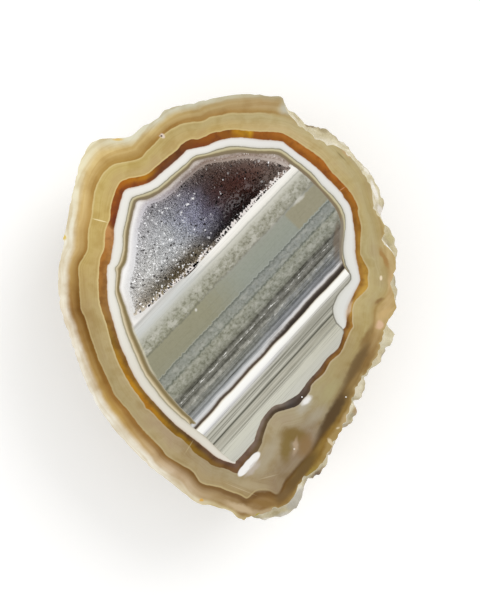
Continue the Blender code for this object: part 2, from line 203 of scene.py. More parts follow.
def add_node(tree: bpy.types.NodeTree, kind: str, inputs: dict[Any, Any] | None = None,
             stops: Iterable[tuple[float, Any]] = (), **settings: Any) -> bpy.types.Node:
    """Add a node to a tree, with its settings and its links.

    Inputs go by name or by number. In a MapRange 1 and 2 are where it maps from and 3 and 4
    where to, and in a colour Mix 6 and 7 are the two colours.

    Args:
        tree: the tree that gets it.
        kind: the node's type, without the prefix of its tree.
        inputs: for each input, a hex colour, a plain value, or a node or socket to link.
        stops: places and colours or grey values of a colour ramp.
        settings: the node's own properties.

    Returns:
        The node.
    """
    prefix = "ShaderNode" if tree.type == "SHADER" else ""
    node = tree.nodes.new(prefix + kind)
    for name, value in settings.items():
        setattr(node, name, value)
    for step, (place, colour) in enumerate(stops):
        elements = node.color_ramp.elements
        element = elements[step] if step < 2 else elements.new(place)
        element.position = place
        element.color = linear(colour) if isinstance(colour, str) else (colour,) * 4
        if not isinstance(colour, str):
            node.outputs[0].enabled = False  # a ramp of plain values gives its Alpha
    for key, value in (inputs or {}).items():
        socket = node.inputs[key]
        if isinstance(value, bpy.types.Node):
            value = next(output for output in value.outputs if output.enabled)
        if isinstance(value, bpy.types.NodeSocket):
            tree.links.new(value, socket)
        else:
            is_colour = isinstance(value, str) and value.startswith("#")
            socket.default_value = linear(value) if is_colour else value
    return node


def principled(name: str, **constants: Any) -> tuple[bpy.types.Material, bpy.types.Node]:
    """Make a material around the Principled shader.

    Args:
        name: the material's name.
        constants: what the shader's own sockets are set to, with _ for a space in their names.

    Returns:
        The material and its shader.
    """
    material = bpy.data.materials.new(name)
    material.use_nodes = True
    shader = material.node_tree.nodes["Principled BSDF"]
    for socket, value in constants.items():
        shader.inputs[socket.replace("_", " ")].default_value = value
    return material, shader


def turn_round(tree: bpy.types.NodeTree, place: Any) -> bpy.types.Node:
    """Tell where a place lies on the turn round the stone, 0 to 1 from its left side.

    Args:
        tree: the material's tree.
        place: the place, in any unit.

    Returns:
        The share of the turn.
    """
    axes = add_node(tree, "SeparateXYZ", {0: place})
    angle = add_node(tree, "Math", {0: axes.outputs["Y"], 1: axes.outputs["X"]}, operation="ARCTAN2")
    return add_node(tree, "MapRange", {0: angle, 1: -math.pi, 2: math.pi})


def ledge_axes(tree: bpy.types.NodeTree, place: Any, unit: float) -> bpy.types.Node:
    """Measure from the ledge's middle.

    Args:
        tree: the material's tree.
        place: the place.
        unit: the place's unit, in metres.

    Returns:
        X along the ledge and Y off it, in the same unit.
    """
    turned = add_node(tree, "Mapping", {
        "Vector": place, "Location": (*(PHOTO.flat([LEDGE_MIDDLE])[0] / unit), 0.0),
        "Rotation": (0.0, 0.0, LEDGE_TURN)}, vector_type="TEXTURE")
    return add_node(tree, "SeparateXYZ", {0: turned})


def smooth_path(points: np.ndarray, closed: bool, steps: int = 8) -> np.ndarray:
    """Draw a Catmull-Rom curve through points.

    Args:
        points: one row of x and y for each.
        closed: whether the curve comes back to its first point.
        steps: points for each span.

    Returns:
        The curve's points.
    """
    if closed:
        rows = np.vstack((points[-1], points, points[0], points[1]))
    else:
        rows = np.vstack((2 * points[0] - points[1], points, 2 * points[-1] - points[-2]))
    spans = []
    share = np.linspace(0.0, 1.0, steps, endpoint=False)[:, None]
    for before, start, end, after in zip(rows, rows[1:], rows[2:], rows[3:]):
        bend = 2 * before - 5 * start + 4 * end - after
        twist = 3 * start - before - 3 * end + after
        spans.append(start + 0.5 * share * (end - before + share * (bend + share * twist)))
    if not closed:
        spans.append(points[-1:])
    return np.vstack(spans)


def inside(points: np.ndarray, loop: np.ndarray) -> np.ndarray:
    """Tell which flat points are within a closed loop.

    Args:
        points: one row of x and y for each.
        loop: the loop's corners, in order.

    Returns:
        True for each point within.
    """
    hits = np.zeros(len(points), dtype=bool)
    for (x0, y0), (x1, y1) in zip(loop, np.roll(loop, -1, axis=0)):
        if y0 == y1:
            continue
        crosses = (y0 > points[:, 1]) != (y1 > points[:, 1])
        hits ^= crosses & (points[:, 0] < x0 + (points[:, 1] - y0) * (x1 - x0) / (y1 - y0))
    return hits


def signed_distance(points: np.ndarray, loop: np.ndarray) -> np.ndarray:
    """Measure how far flat points lie within a closed loop.

    Args:
        points: one row of x and y for each.
        loop: the loop's corners, in order.

    Returns:
        Distances to the loop, below zero outside it.
    """
    starts, steps = loop, np.roll(loop, -1, axis=0) - loop
    lengths = np.maximum(np.sum(steps * steps, axis=1), 1e-18)
    nearest = np.empty(len(points))
    batch = 2000
    for first in range(0, len(points), batch):
        away = points[first:first + batch, None, :] - starts[None, :, :]
        share = np.clip(np.sum(away * steps, axis=2) / lengths, 0.0, 1.0)
        away -= share[:, :, None] * steps
        nearest[first:first + batch] = np.sqrt(np.min(np.sum(away * away, axis=2), axis=1))
    return np.where(inside(points, loop), nearest, -nearest)


def along(path: np.ndarray, share: float) -> np.ndarray:
    """Find the point at a share, 0 to 1, of an open path's length.

    Args:
        path: the path's points.
        share: how far along it.

    Returns:
        The point's x and y.
    """
    lengths = np.linalg.norm(np.diff(path, axis=0), axis=1)
    stops = np.concatenate(([0.0], np.cumsum(lengths)))
    return np.array([np.interp(share * stops[-1], stops, path[:, axis]) for axis in (0, 1)])


def radii_at(path: np.ndarray, angles: np.ndarray) -> np.ndarray:
    """Find how far a path lies from the middle at each angle.

    Args:
        path: the path's points.
        angles: from -pi to pi.

    Returns:
        The radii, and infinity where the path has none.
    """
    turns = np.arctan2(path[:, 1], path[:, 0])
    order = np.argsort(turns)
    turns, reach = turns[order], np.hypot(path[:, 0], path[:, 1])[order]
    widest_gap = 0.3
    if np.max(np.diff(turns)) < widest_gap and turns[0] + 2 * math.pi - turns[-1] < widest_gap:
        return np.interp(angles, turns, reach, period=2 * math.pi)
    return np.interp(angles, turns, reach, left=math.inf, right=math.inf)


def fill(loops: Sequence[np.ndarray], dots: np.ndarray) -> list[tuple[int, ...]]:
    """Cover the first loop with triangles that use every dot, with holes for the others.

    Args:
        loops: the outline and its holes, as flat points.
        dots: more points within.

    Returns:
        Triangles, with the corners numbered through the loops and then the dots.
    """
    flat = np.vstack([*loops, dots])
    edges = []
    for loop in loops:
        first = len(edges)
        edges += [(first + step, first + (step + 1) % len(loop)) for step in range(len(loop))]
    whole_hull, same_point = 0, 1e-9
    _, _, faces, sources, _, _ = delaunay_2d_cdt(
        [Vector(row) for row in flat], edges, [], whole_hull, same_point)
    corners = np.array([source[0] for source in sources])
    triangles = corners[np.array(faces)]
    middles = flat[triangles].mean(axis=1)
    kept = inside(middles, loops[0])
    for hole in loops[1:]:
        kept &= ~inside(middles, hole)
    return [tuple(int(corner) for corner in face) for face in triangles[kept]]


def build_mesh(name: str, points: Iterable[Iterable[float]],
               faces: Iterable[Sequence[int]]) -> bpy.types.Mesh:
    """Make a mesh with its faces pointing out.

    Args:
        name: the mesh's name.
        points: its corners, in metres.
        faces: the corners of each face.

    Returns:
        The mesh.
    """
    mesh = bpy.data.meshes.new(name)
    mesh.from_pydata([tuple(point) for point in points], [], [tuple(face) for face in faces])
    shape = bmesh.new()
    shape.from_mesh(mesh)
    bmesh.ops.recalc_face_normals(shape, faces=shape.faces)
    shape.to_mesh(mesh)
    shape.free()
    return mesh


def add_piece(name: str, mesh: bpy.types.Mesh) -> bpy.types.Object:
    """Put a mesh in the scene as an object at the origin.

    Args:
        name: the object's name.
        mesh: its mesh.

    Returns:
        The object.
    """
    piece = bpy.data.objects.new(name, mesh)
    bpy.context.scene.collection.objects.link(piece)
    return piece


class Contour(Enum):
    """The outlines that part the rings, each with the name of its attribute."""

    POLISHED = "inside_polished_edge"
    KHAKI = "inside_khaki_edge"
    ORANGE = "inside_orange_edge"
    WHITE = "inside_white_edge"
    CREAM = "inside_cream_edge"
    HEART = "inside_heart_edge"
    POCKET = "inside_pocket_rim"

    @property
    def points(self) -> Pixels:
        """The outline's points on the photograph; the polished edge comes from the rind."""
        return {
            Contour.KHAKI: KHAKI_EDGE,
            Contour.ORANGE: ORANGE_EDGE,
            Contour.WHITE: WHITE_EDGE_TOP + WHITE_EDGE_LOW + WHITE_EDGE_LEFT,
            Contour.CREAM: CREAM_EDGE_TOP + WHITE_EDGE_LOW + CREAM_EDGE_LEFT,
            Contour.HEART: (HEART_EDGE_TOP + CREAM_EDGE_PINCH + WHITE_EDGE_LOW + CREAM_EDGE_FOOT
                            + HEART_EDGE_LEFT),
            Contour.POCKET: POCKET_RIM + LEDGE[-2:0:-1],
        }[self]


# The colours of the rings round the stone. A place is a share of the turn: 0 is the left
# side, 0.25 the foot, 0.5 the right side and 0.75 the top.
# SKIN_EDGE is the pale rim: partly the skin's own colour, partly painted light shining through the thin
# translucent edge.
SKIN_EDGE = (
    (0.0, "#efe8d8"), (0.1, "#eeeadd"), (0.2, "#ebe5d4"), (0.24, "#d8cba4"), (0.27, "#c9b684"),
    (0.3, "#b09a68"), (0.36, "#b8a474"), (0.42, "#b5a072"), (0.47, "#c0aa78"), (0.52, "#c4ae78"),
    (0.58, "#cfc092"), (0.64, "#b2a884"), (0.69, "#bfb693"), (0.71, "#b9b094"), (0.75, "#c2bca2"),
    (0.8, "#d2d0bc"), (0.84, "#dfdac0"), (0.88, "#ede4c2"), (0.93, "#f2efdf"), (1.0, "#ece4d0"),
)
SKIN_MIDDLE = (
    (0.0, "#9a7848"), (0.05, "#ae8e58"), (0.12, "#c4a462"), (0.2, "#c8b294"), (0.24, "#ab936c"),
    (0.28, "#8f724a"), (0.32, "#977c44"), (0.36, "#94783f"), (0.4, "#8c7346"), (0.45, "#957a50"),
    (0.49, "#c2a878"), (0.53, "#c2aa7c"), (0.58, "#b8a474"), (0.64, "#b0a078"), (0.7, "#b6a67c"),
    (0.72, "#bda67c"), (0.76, "#b8a274"), (0.81, "#cbb47e"), (0.86, "#dcc388"), (0.9, "#dcc288"),
    (0.94, "#d0b47c"), (0.97, "#b39258"), (1.0, "#a07c4a"),
)
SKIN_INNER = (
    (0.0, "#7a5627"), (0.06, "#87632f"), (0.12, "#a27a44"), (0.18, "#8f6c3c"), (0.22, "#886b44"),
    (0.26, "#7f6444"), (0.29, "#6a4c28"), (0.33, "#5c4528"), (0.38, "#66513a"), (0.42, "#75603f"),
    (0.46, "#8f7348"), (0.5, "#ad9460"), (0.56, "#b09a64"), (0.62, "#b3a26e"), (0.68, "#b0a074"),
    (0.71, "#a88c58"), (0.75, "#a6844f"), (0.8, "#ab8850"), (0.85, "#b08f50"), (0.9, "#bb985a"),
    (0.95, "#a5824a"), (1.0, "#7a5627"),
)
SKIN_MARGIN = (
    (0.0, 0.46), (0.1, 0.47), (0.2, 0.42), (0.25, 0.22), (0.3, 0.12), (0.5, 0.17), (0.6, 0.17),
    (0.72, 0.27), (0.8, 0.37), (0.88, 0.4), (0.95, 0.52), (0.98, 0.5), (1.0, 0.46),
)
# Where the khaki ring's outer side is a crisp edge, and where it is a soft change, in mm.
KHAKI_SOFTNESS = (
    (0.0, 0.12), (0.26, 0.12), (0.3, 0.4), (0.34, 0.8), (0.5, 1.2), (0.6, 2.0), (0.69, 1.5), (0.72, 0.3),
    (0.78, 0.12), (1.0, 0.12),
)
# How clearly a pale line marks that side.
KHAKI_LINE = (
    (0.0, 0.35), (0.2, 0.2), (0.235, 0.5), (0.27, 0.5), (0.3, 0.0), (0.69, 0.0), (0.72, 0.3), (0.8, 0.7),
    (0.9, 0.8), (0.95, 0.45), (1.0, 0.35),
)
# How clearly a pale line marks its inner side, and that line's colour.
ORANGE_LINE = (
    (0.0, 0.8), (0.12, 0.6), (0.2, 0.25), (0.24, 0.1), (0.3, 0.3), (0.38, 0.7), (0.5, 0.8), (0.6, 0.5),
    (0.7, 0.7), (0.85, 0.9), (1.0, 0.8),
)
ORANGE_LINE_COLOUR = (
    (0.0, "#e2cf98"), (0.12, "#d0bd94"), (0.3, "#b8ab94"), (0.4, "#c6b8a0"), (0.55, "#ccb98e"),
    (0.7, "#d0bd86"), (0.85, "#e0c88c"), (1.0, "#e2cf98"),
)
KHAKI_OUTER = (
    (0.0, "#ae9668"), (0.06, "#ac9a70"), (0.12, "#ac9c74"), (0.18, "#b3a27c"), (0.22, "#ac9a76"),
    (0.26, "#a48f68"), (0.3, "#94836a"), (0.34, "#978772"), (0.38, "#a09270"), (0.43, "#a29066"),
    (0.48, "#b8a878"), (0.55, "#b4a67e"), (0.6, "#b4a67c"), (0.68, "#bcae84"), (0.74, "#b8a87c"),
    (0.8, "#bba772"), (0.85, "#c6b172"), (0.9, "#c9b272"), (0.95, "#c0a86c"), (1.0, "#ae9668"),
)
KHAKI_INNER = (
    (0.0, "#b8a474"), (0.06, "#b6a47a"), (0.12, "#af9e76"), (0.18, "#aa9678"), (0.23, "#a69676"),
    (0.27, "#a89a7c"), (0.31, "#ac9e80"), (0.35, "#a89c80"), (0.4, "#ab9e74"), (0.45, "#a8966c"),
    (0.5, "#bdac7c"), (0.56, "#b4a67a"), (0.63, "#bba978"), (0.7, "#c4b084"), (0.76, "#c0a870"),
    (0.83, "#c0aa78"), (0.9, "#c8b070"), (0.95, "#c2aa72"), (1.0, "#b8a474"),
)
ORANGE_OUTER = (
    (0.0, "#9c7440"), (0.04, "#927234"), (0.1, "#b88628"), (0.14, "#b07c24"), (0.18, "#98741e"),
    (0.22, "#80622a"), (0.255, "#74563a"), (0.28, "#68563e"), (0.31, "#5a4c3a"), (0.34, "#443d38"),
    (0.37, "#54463a"), (0.41, "#7c5a30"), (0.45, "#8f6832"), (0.48, "#a67e40"), (0.52, "#c09a4c"),
    (0.57, "#a67e38"), (0.6, "#9c6a2c"), (0.64, "#a5652a"), (0.69, "#aa6e32"), (0.7278, "#955a28"),
    (0.7288, "#c4982f"), (0.742, "#b8862a"), (0.75, "#8f5c24"), (0.77, "#8f5626"), (0.8, "#744a2c"),
    (0.825, "#7c4c26"), (0.84, "#b47c1c"), (0.865, "#a8651c"), (0.902, "#8c4c18"), (0.904, "#c4925e"),
    (0.935, "#ac763a"), (1.0, "#9c7440"),
)
ORANGE_INNER = (
    (0.0, "#957044"), (0.06, "#896636"), (0.12, "#8c6830"), (0.18, "#665030"), (0.22, "#644c36"),
    (0.255, "#6e5648"), (0.29, "#7f7065"), (0.32, "#85796e"), (0.345, "#5c5450"), (0.38, "#6a5a50"),
    (0.43, "#745438"), (0.48, "#805c34"), (0.53, "#a67c3c"), (0.58, "#8f6630"), (0.65, "#8f5824"),
    (0.7, "#945c26"), (0.7278, "#8a5420"), (0.7288, "#b48428"), (0.75, "#8a5620"), (0.78, "#80481c"),
    (0.8, "#6c4430"), (0.83, "#6c4430"), (0.845, "#945618"), (0.88, "#824818"), (0.902, "#7e4414"),
    (0.904, "#bb8858"), (0.94, "#a87a44"), (1.0, "#957044"),
)
# Across the ring between two outlines: 0 is its outer side and 1 its inner side.
WHITE_ACROSS = (
    (0.0, "#c9b4a4"), (0.1, "#e0dad2"), (0.3, "#eae8e3"), (0.7, "#e9e7e0"), (0.9, "#dddad2"),
    (1.0, "#c6c2b2"),
)
WHITE_TINT = (
    (0.0, "#fdfcf8"), (0.1, "#f1eee6"), (0.2, "#efebe2"), (0.3, "#f2eeea"), (0.44, "#eeeff0"),
    (0.5, "#eef0f0"), (0.56, "#f3f4f4"), (0.7, "#f5f5f6"), (0.8, "#ffffff"), (1.0, "#fdfcf8"),
)
# A dark line marks the cream ring's outer side here, round the white bulge.
BULGE_LINE = ((0.46, 0.0), (0.475, 0.8), (0.56, 0.8), (0.58, 0.0))
CREAM_TOP = (
    (0.0, "#857f6c"), (0.1, "#8a846e"), (0.16, "#bfb79a"), (0.34, "#c6bc98"), (0.46, "#a89b78"),
    (0.56, "#85775c"), (0.9, "#80725c"), (1.0, "#948777"),
)
CREAM_LEFT = (
    (0.0, "#a19980"), (0.07, "#a29a82"), (0.14, "#b8ae92"), (0.22, "#d8caac"), (0.32, "#c8b998"),
    (0.42, "#b0a07c"), (0.52, "#958360"), (0.65, "#83734e"), (0.78, "#857655"), (0.88, "#8f8264"),
    (1.0, "#b4aa94"),
)
# Between the cream ring and the pocket, round the stone, and right at the pocket's rim.
MARGIN = (
    (0.0, "#f4f2ee"), (0.1, "#e2ddd6"), (0.6, "#cfc7c0"), (0.68, "#cdc5bf"), (0.74, "#cfc7c2"),
    (0.8, "#d0c8c1"), (0.84, "#e0dad6"), (0.88, "#f0eeec"), (0.93, "#f6f4f2"), (1.0, "#f4f2ee"),
)
POCKET_RIM_COLOURS = (
    (0.0, "#e2e0dc"), (0.5, "#dad8d4"), (0.66, "#cdc4bc"), (0.7, "#b6a89e"), (0.74, "#a59488"),
    (0.775, "#96857a"), (0.8, "#8f827c"), (0.825, "#a8a0a2"), (0.86, "#c8c4c8"), (0.9, "#dcdbdd"),
    (0.96, "#e6e5e4"), (1.0, "#e2e0dc"),
)
# How sugary that margin looks by the pocket.
SUGAR = ((0.0, 0.15), (0.6, 0.4), (0.68, 0.8), (0.8, 0.8), (0.84, 0.45), (0.9, 0.15), (1.0, 0.15))

# The level layers that fill the heart of the stone under the ledge. A row is the depth below
# the ledge in pixels, the colour near the left end and the colour near the right end.
LAYERS = (
    (0.0, "#c9c7c3", "#dedbd4"), (1.5, "#c6c5c1", "#f3f0e9"), (4.0, "#d4d4d0", "#f7f4ee"),
    (7.5, "#cdcfcc", "#f0ede5"), (9.5, "#cacbc6", "#e2dfd6"), (10.6, "#c6c7c2", "#b4b3aa"),
    (11.6, "#c6c6be", "#cfcdc2"), (14.0, "#bdbdb2", "#c6c4b8"), (17.0, "#b0afa2", "#aeac9e"),
    (22.0, "#a7a696", "#a5a395"), (27.0, "#a3a292", "#a09e90"), (28.8, "#96947f", "#9c9a8c"),
    (29.6, "#7d7c6c", "#8f8d80"), (30.6, "#84826f", "#94938a"), (31.6, "#96937c", "#9a9c90"),
    (42.0, "#94917a", "#969a8e"), (52.4, "#92907b", "#94988e"), (53.2, "#a8a99c", "#a6aaa2"),
    (53.9, "#6c6f64", "#696d67"), (54.6, "#777a70", "#747871"), (56.0, "#92948b", "#90938e"),
    (61.0, "#93958c", "#8f928d"), (63.6, "#989a90", "#949790"), (64.5, "#74776b", "#72766e"),
    (65.2, "#7a7d72", "#7a7d74"), (66.3, "#9a9a8c", "#98998c"), (72.0, "#9c9c8e", "#9a9b90"),
    (77.5, "#8f8f82", "#8c8d82"), (79.6, "#7c7b70", "#7a7a70"), (80.8, "#5c5b52", "#57564f"),
    (82.2, "#5f5e56", "#5f5e58"), (83.4, "#85847c", "#7f7e78"), (86.5, "#84837b", "#82817b"),
    (88.0, "#67665f", "#65645f"), (89.4, "#6c6b64", "#74736d"), (90.6, "#94938b", "#8a8a84"),
    (93.0, "#9c9b93", "#8f9090"), (95.0, "#83847e", "#828483"), (97.4, "#8a8b86", "#868888"),
    (98.4, "#6c6c67", "#66686a"), (99.4, "#7a7b78", "#74767a"), (100.6, "#a5a7a6", "#94969a"),
    (102.0, "#9a9c9c", "#8a8c90"), (103.0, "#7a7c7c", "#707274"), (104.2, "#989a9c", "#a2a2a6"),
    (105.6, "#c0c2c3", "#dcdbdd"), (107.2, "#d4d4d5", "#c9c5c2"), (108.2, "#d2d2d2", "#6d655e"),
    (109.4, "#c0bdba", "#4c443e"), (110.4, "#5a4c40", "#3c352f"), (112.2, "#4c4238", "#38312b"),
    (112.9, "#b5a898", "#54493c"), (113.7, "#f1ecdf", "#e0d9ca"), (115.0, "#fbfaf5", "#fbfaf4"),
    (119.5, "#f6f5f1", "#f4f3ed"), (121.4, "#dcdbdc", "#cfcdc6"), (123.0, "#cdccc9", "#b5b3a8"),
    (125.0, "#c9c7bc", "#b0aea2"), (126.4, "#8f8d80", "#9c9a8e"), (127.2, "#c6c4b8", "#b3b1a5"),
    (128.6, "#bfbdb1", "#a5a397"), (129.4, "#79776b", "#706e62"), (130.2, "#c2c0b4", "#b3b1a5"),
    (131.2, "#a09e92", "#8f8d81"), (132.0, "#c9c7bb", "#bcbaae"), (134.0, "#c0beb2", "#b6b4a8"),
    (134.8, "#5f5e53", "#5c5b50"), (135.8, "#66655a", "#66655a"), (136.6, "#c4c1b3", "#bcb9aa"),
    (138.0, "#aca99b", "#a5a294"), (139.0, "#c6c3b5", "#bcb9ab"), (140.4, "#b0ad9f", "#aba899"),
    (143.6, "#c6c4b7", "#bab8a9"), (144.6, "#9a988b", "#96948a"), (145.6, "#d2d0c3", "#c9c7b8"),
    (151.0, "#cecdbf", "#c8c6b8"), (158.0, "#c8c7bc", "#c4c3b8"), (170.0, "#cac9bf", "#c6c5bb"),
)
LAYERS_DEPTH = 170.0
RAMP_LIMIT = 32  # a colour ramp holds this many stops

# How strong each kind of detail is by that depth: level streaks, jagged edges, long waves, broken
# bright dashes, the mottling and pale lumps of the sugary layers, and the olive block at the right.
STREAKS = (
    (0, 0.35), (17, 0.05), (54, 0.15), (64, 0.15), (78, 0.4), (82, 0.9), (104, 0.9), (107, 0.3),
    (113, 0.05), (119, 0.1), (122, 0.75), (146, 0.7), (152, 0.3),
)
JAGS = (
    (0, 0.1), (14, 0.3), (26, 1.0), (33, 0.5), (50, 0.8), (66, 0.8), (70, 0.4), (84, 0.6), (95, 0.4),
    (106, 0.15), (118, 0.0),
)
WAVES = (
    (0, 0.05), (24, 0.4), (30, 0.6), (36, 0.2), (55, 0.3), (64, 0.15), (100, 0.15), (108, 0.6), (113, 0.45),
    (118, 0.1), (125, 0.0),
)
DASHES = (
    (82.9, 0.0), (83.7, 0.95), (85.0, 0.95), (86.0, 0.0), (90.6, 0.0), (91.6, 0.45), (93.2, 0.45),
    (94.4, 0.0),
)
MOTTLING = (
    (12, 0.0), (16, 0.4), (19, 0.8), (28, 0.8), (30.5, 0.1), (53, 0.1), (56, 0.45), (64, 0.5), (67, 0.7),
    (77, 0.7), (80, 0.5), (98, 0.4), (104, 0.0),
)
LUMPS = (
    (12, 0.0), (16, 0.5), (28, 0.55), (32, 0.0), (55, 0.05), (57, 0.25), (63, 0.25), (66, 0.2), (68, 0.3),
    (77, 0.25), (79, 0.15), (88, 0.1), (92, 0.3), (97, 0.1), (104, 0.0),
)
# A pale line just inside the cream ring, by turn.
HEART_HALO = ((0.0, 0.7), (0.11, 0.7), (0.125, 0.0), (0.99, 0.0), (1.0, 0.7))
OLIVE = ((30.8, 0.0), (32.2, 1.0), (51.5, 1.0), (53.0, 0.0))


@dataclass(frozen=True)
class Patch:
    """A soft oval blot or a streak of colour on the face, in pixels of the photograph."""

    middle: tuple[float, float]
    reach: tuple[float, float]  # half its length and half its width
    colour: str
    lean: float = 0.0  # degrees from level, up to the right
    strength: float = 1.0
    core: float = 0.2  # the share of its reach that is at full strength


def lay_patches(tree: bpy.types.NodeTree, place: Any, colour: Any, patches: Iterable[Patch]) -> Any:
    """Lay blots and streaks over a colour.

    Args:
        tree: the material's tree.
        place: the place, in millimetres.
        colour: the colour below.
        patches: the blots.

    Returns:
        The last blot's coat.
    """
    add = partial(add_node, tree)
    flat = add("VectorMath", {0: place, 1: (1.0, 1.0, 0.0)}, operation="MULTIPLY")
    cloud = add("TexNoise", {"Vector": place, "Scale": 0.6, "Detail": 3.0}).outputs["Color"]
    bent = add("VectorMath", {0: cloud, 1: (1.2, 1.2, 0.0), 2: flat}, operation="MULTIPLY_ADD")
    bent = add("VectorMath", {0: bent, 1: (0.6, 0.6, 0.0)}, operation="SUBTRACT")
    narrow, crisp = 2.0, 0.55
    for patch in patches:
        spot = add("Mapping", {
            "Vector": bent if min(patch.reach) > narrow and patch.core < crisp else flat,
            "Location": (*(PHOTO.flat([patch.middle])[0] / MM), 0.0),
            "Rotation": (0.0, 0.0, math.radians(patch.lean)),
            "Scale": (patch.reach[0] * PIXEL_MM, patch.reach[1] * PIXEL_MM, 1.0)}, vector_type="TEXTURE")
        away = add("VectorMath", {0: spot}, operation="LENGTH").outputs["Value"]
        strength = add("MapRange", {0: away, 1: 1.0, 2: patch.core, 4: patch.strength},
                       interpolation_type="SMOOTHSTEP")
        colour = add("Mix", {0: strength, 6: colour, 7: patch.colour}, data_type="RGBA")
    return colour


# Blots in the skin and in the khaki ring, from the top round the right side to the foot, and one painted
# glint.
OUTER_PATCHES = (
    Patch((286, 109), (10, 8), "#bdb8a6", strength=0.9),
    Patch((320, 131), (13, 5), "#9c8b68", -35, 0.8),
    Patch((345, 141), (9, 5), "#dacfb4", -48, 0.9, 0.5),
    Patch((347, 153), (10, 3.5), "#bf9f74", -42, 0.8),
    Patch((341, 156), (9, 1.2), "#877850", -45, 0.7),
    Patch((384, 257), (14, 3.5), "#a07a48", -65, 0.8, 0.4),
    Patch((381, 278), (1.7, 3.2), "#ead9bc", strength=0.9, core=0.5),
    Patch((392, 282), (6, 14), "#c9ac80", strength=0.7),
    Patch((379, 301), (7, 3), "#866740", 30, 0.8),
    Patch((385, 313), (12, 5), "#c6a976", 35, 0.8),
    Patch((380, 325), (5.5, 7), "#d6b494", -10, 0.9, 0.4),
    Patch((366, 338), (20, 5), "#84683f", 60, 0.8),
    Patch((357, 364), (34, 7), "#6f5a3c", 60, 0.85, 0.35),
    Patch((342, 363), (30, 7), "#a8966c", 62, 0.6),
    Patch((330, 392), (22, 9), "#aaa076", 55, 0.7),
    Patch((333, 414), (36, 8), "#584630", 58, 0.95, 0.4),
    Patch((306, 466), (26, 7.5), "#66512f", 50, 0.85, 0.35),
    Patch((291, 485), (12, 8), "#6a5230", 60, 0.85, 0.35),
    Patch((332, 440), (26, 6), "#a38a58", 62, 0.85, 0.35),
    Patch((331, 442), (6, 2.5), "#d6c6a6", -35, 0.85, 0.4),
    Patch((338, 428), (3, 1.5), "#dccfb2", 20, 0.7),
    Patch((311, 475), (17, 6), "#97803f", 55, 0.85, 0.35),
    Patch((268, 455), (34, 9), "#aa9f88", 64, 0.6),
    Patch((252, 486), (26, 8), "#b2a384", -5, 0.6),
    Patch((316, 416), (20, 8), "#a9a08c", 42, 0.6),
    Patch((304, 406), (14, 8), "#b4ae9e", 50, 0.7),
    Patch((306, 400.5), (9, 4.5), "#ebe9e6", 44, 0.95, 0.3),
    Patch((294, 435), (20, 11.5), "#7d6638", -8, 0.9, 0.3),
    Patch((286, 449), (9, 22), "#7f6a3c", -6, 0.9, 0.25),
    Patch((305, 446), (11, 17), "#8a6e48", -20, 0.85, 0.25),
    Patch((295.5, 446), (13, 3.2), "#b09a80", 78, 0.85),
    # A painted glint: a tiny highlight on the polish.
    Patch((294.3, 449), (1.2, 1.2), "#ded4c4", strength=0.9, core=0.5),
    Patch((300, 474), (25, 7), "#6c5636", 52, 0.85, 0.3),
    Patch((284, 495), (15, 7), "#745d3e", 35, 0.8, 0.3),
    Patch((262, 503), (20, 5), "#8a6c40", -10, 0.8),
    Patch((241, 508), (24, 5.5), "#c4ae8c", -20, 0.9, 0.3),
    Patch((266, 512), (18, 4.5), "#b29c7c", 8, 0.85),
    Patch((347, 418), (17, 6), "#b89f74", 60, 0.8),
)
# Marks over all the rings: the white wedge at the foot, healed cracks, a pit, rusty spots and two painted
# glints.
TOP_PATCHES = (
    Patch((253, 469), (15, 5), "#b9aea2", 46, 0.8, 0.3),
    Patch((244, 469.8), (9.5, 4.2), "#f0eeea", 48, 0.97, 0.74),
    Patch((249, 464.2), (9.5, 4.6), "#f0eeea", 48, 0.97, 0.74),
    Patch((254, 458.6), (9.5, 4.2), "#f0eeea", 48, 0.97, 0.74),
    Patch((252.5, 465.5), (14, 2.2), "#c9c2ba", 48, 0.7, 0.2),
    Patch((272, 472), (16, 0.8), "#8f7f68", 20, 0.4),
    Patch((268, 477), (14, 0.8), "#c6b89c", 15, 0.4),
    Patch((262, 483), (16, 0.8), "#8f7c5e", -12, 0.4),
    Patch((240, 489), (22, 0.7), "#c8b898", -22, 0.5),
    Patch((238, 485.5), (20, 0.7), "#8f7c58", -22, 0.3),
    Patch((349, 309), (13, 3.0), "#cfb89e", 72, 0.7),
    Patch((341.5, 240), (30, 3.0), "#8a8172", 88, 0.8, 0.56),
    Patch((100, 220.5), (9.5, 0.8), "#ead9a8", -14, 0.95, 0.5),
    Patch((189, 447), (11, 0.7), "#d0c298", 58, 0.4),
    Patch((342, 189), (6, 0.7), "#d09a70", 35, 0.7),
    Patch((162, 136), (4, 3), "#e6d4c4", strength=0.9, core=0.4),
    Patch((161.5, 136), (1.4, 1.1), "#4a3c34", core=0.5),
    Patch((64, 237), (2.5, 5), "#dcbc50", strength=0.9),
    Patch((118, 139.5), (8, 2), "#dcb860", strength=0.85),
    Patch((201, 500), (2.6, 2.4), "#d6a54c", strength=0.9, core=0.4),
    Patch((262, 519), (6, 2.8), "#f2ede4", 10, 0.9, 0.4),
    Patch((257, 515), (4.5, 1.6), "#a89a34", 38, 0.9),
    Patch((191, 271.5), (12, 1.0), "#33241f", 44, 0.95, 0.5),
    Patch((299, 200), (11, 2.5), "#cfccc2", 46, 0.7, 0.3),
    Patch((196, 310), (1.8, 2.4), "#d8d6ce", strength=0.85),
    Patch((337, 240), (28, 5), "#75685a", 88, 0.7, 0.3),
    # Two painted glints: tiny highlights on the polish.
    Patch((302, 397), (0.9, 0.9), "#ffffff", core=0.5),
    Patch((346, 397), (1.0, 0.8), "#f4f0e8", core=0.5),
)


